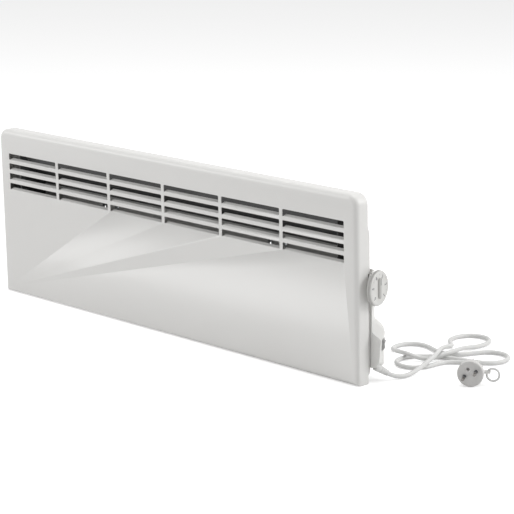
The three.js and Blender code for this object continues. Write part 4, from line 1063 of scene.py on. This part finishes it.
class HEATER_OT_stage(bpy.types.Operator):
    """Lays the pale floor and sets the soft studio light"""

    bl_idname = "heater.stage"
    bl_label = "Set stage"

    def execute(self, context):
        stage = context.scene.heater_stage
        self.floor(stage)
        self.world(context, stage)
        self.softbox("box_overhead", (0.1, 0.1, 2.7), (0.1, 0.05, 0), 2.2, stage.overhead)
        self.softbox("box_front", (-4.5, -3.6, 1.85), (0, 0, 0.15), 3.0, stage.front)
        self.softbox("box_side", (2.5, 1.4, 1.6), (0.35, 0, 0.15), 1.5, stage.side)
        context.scene.view_settings.view_transform = "Standard"
        return {"FINISHED"}

    @staticmethod
    def seen(tree):
        """One where the camera, a reflection or a refraction looks, and nought for lighting."""
        path = tree.nodes.new("ShaderNodeLightPath")
        total = None
        for name in ("Is Camera Ray", "Is Glossy Ray", "Is Transmission Ray"):
            if total is None:
                total = path.outputs[name]
                continue
            larger = tree.nodes.new("ShaderNodeMath")
            larger.operation = "MAXIMUM"
            tree.links.new(total, larger.inputs[0])
            tree.links.new(path.outputs[name], larger.inputs[1])
            total = larger.outputs[0]
        return total

    def floor(self, stage):
        """White paper that reads as the white background and still takes a faint shadow."""
        bpy.ops.object.select_all(action="DESELECT")
        bpy.ops.mesh.primitive_plane_add(size=60, location=(0, 0, -0.0002))
        floor = bpy.context.object
        floor.name = "paper_floor"
        material = bpy.data.materials.new("paper")
        material.use_nodes = True
        tree = material.node_tree
        tree.nodes.clear()
        output = tree.nodes.new("ShaderNodeOutputMaterial")
        paper = tree.nodes.new("ShaderNodeBsdfDiffuse")
        paper.inputs["Color"].default_value = (*stage.floor, 1)
        glow = tree.nodes.new("ShaderNodeEmission")
        strength = tree.nodes.new("ShaderNodeMath")
        strength.operation = "MULTIPLY"
        strength.inputs[1].default_value = FLOOR_GLOW
        tree.links.new(self.seen(tree), strength.inputs[0])
        tree.links.new(strength.outputs[0], glow.inputs["Strength"])
        both = tree.nodes.new("ShaderNodeAddShader")
        tree.links.new(paper.outputs[0], both.inputs[0])
        tree.links.new(glow.outputs[0], both.inputs[1])
        tree.links.new(both.outputs[0], output.inputs["Surface"])
        floor.data.materials.append(material)

    def world(self, context, stage):
        """Even light from all round, behind a white backdrop."""
        world = bpy.data.worlds.new("studio")
        context.scene.world = world
        world.use_nodes = True
        tree = world.node_tree
        background = tree.nodes["Background"]
        background.inputs["Color"].default_value = (1, 1, 1, 1)
        strength = tree.nodes.new("ShaderNodeMapRange")
        strength.inputs["To Min"].default_value = stage.sky
        strength.inputs["To Max"].default_value = 1.0
        tree.links.new(self.seen(tree), strength.inputs["Value"])
        tree.links.new(strength.outputs[0], background.inputs["Strength"])

    @staticmethod
    def softbox(name, place, target, size, power):
        """A square area lamp that faces a target."""
        lamp = bpy.data.objects.new(name, bpy.data.lights.new(name, "AREA"))
        bpy.context.scene.collection.objects.link(lamp)
        lamp.data.size = size
        lamp.data.energy = power
        lamp.location = place
        lamp.rotation_euler = (Vector(place) - Vector(target)).to_track_quat("Z", "Y").to_euler()


class HEATER_PT_panel(bpy.types.Panel):
    """Lists the heater's pieces and settings"""

    bl_label = "Panel heater"
    bl_idname = "HEATER_PT_panel"
    bl_space_type = "VIEW_3D"
    bl_region_type = "UI"
    bl_category = "Heater"

    def draw(self, context):
        for operator in OPERATORS:
            self.layout.operator(operator.bl_idname)
        scene = context.scene
        for group in (scene.heater_finishes, scene.heater_shapes, scene.heater_stage):
            box = self.layout.box()
            for name in group.__annotations__:
                box.prop(group, name)


OPERATORS = (
    HEATER_OT_camera,
    HEATER_OT_lead,
    HEATER_OT_panel,
    HEATER_OT_inside,
    HEATER_OT_controls,
    HEATER_OT_dial,
    HEATER_OT_fittings,
    HEATER_OT_stage,
)
GROUPS = {
    "heater_finishes": HeaterFinishes,
    "heater_shapes": HeaterShapes,
    "heater_stage": HeaterStage,
}


def register():
    """Adds the classes and the scene's settings."""
    for kind in (*GROUPS.values(), *OPERATORS, HEATER_PT_panel):
        bpy.utils.register_class(kind)
    for name, group in GROUPS.items():
        setattr(bpy.types.Scene, name, bpy.props.PointerProperty(type=group))


def unregister():
    """Takes away what register added."""
    for name in GROUPS:
        delattr(bpy.types.Scene, name)
    for kind in (HEATER_PT_panel, *reversed(OPERATORS), *reversed(GROUPS.values())):
        bpy.utils.unregister_class(kind)


def main():
    """Builds every piece in order."""
    register()
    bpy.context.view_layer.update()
    for operator in OPERATORS:
        group, name = operator.bl_idname.split(".")
        getattr(getattr(bpy.ops, group), name)()


if __name__ == "__main__":
    main()
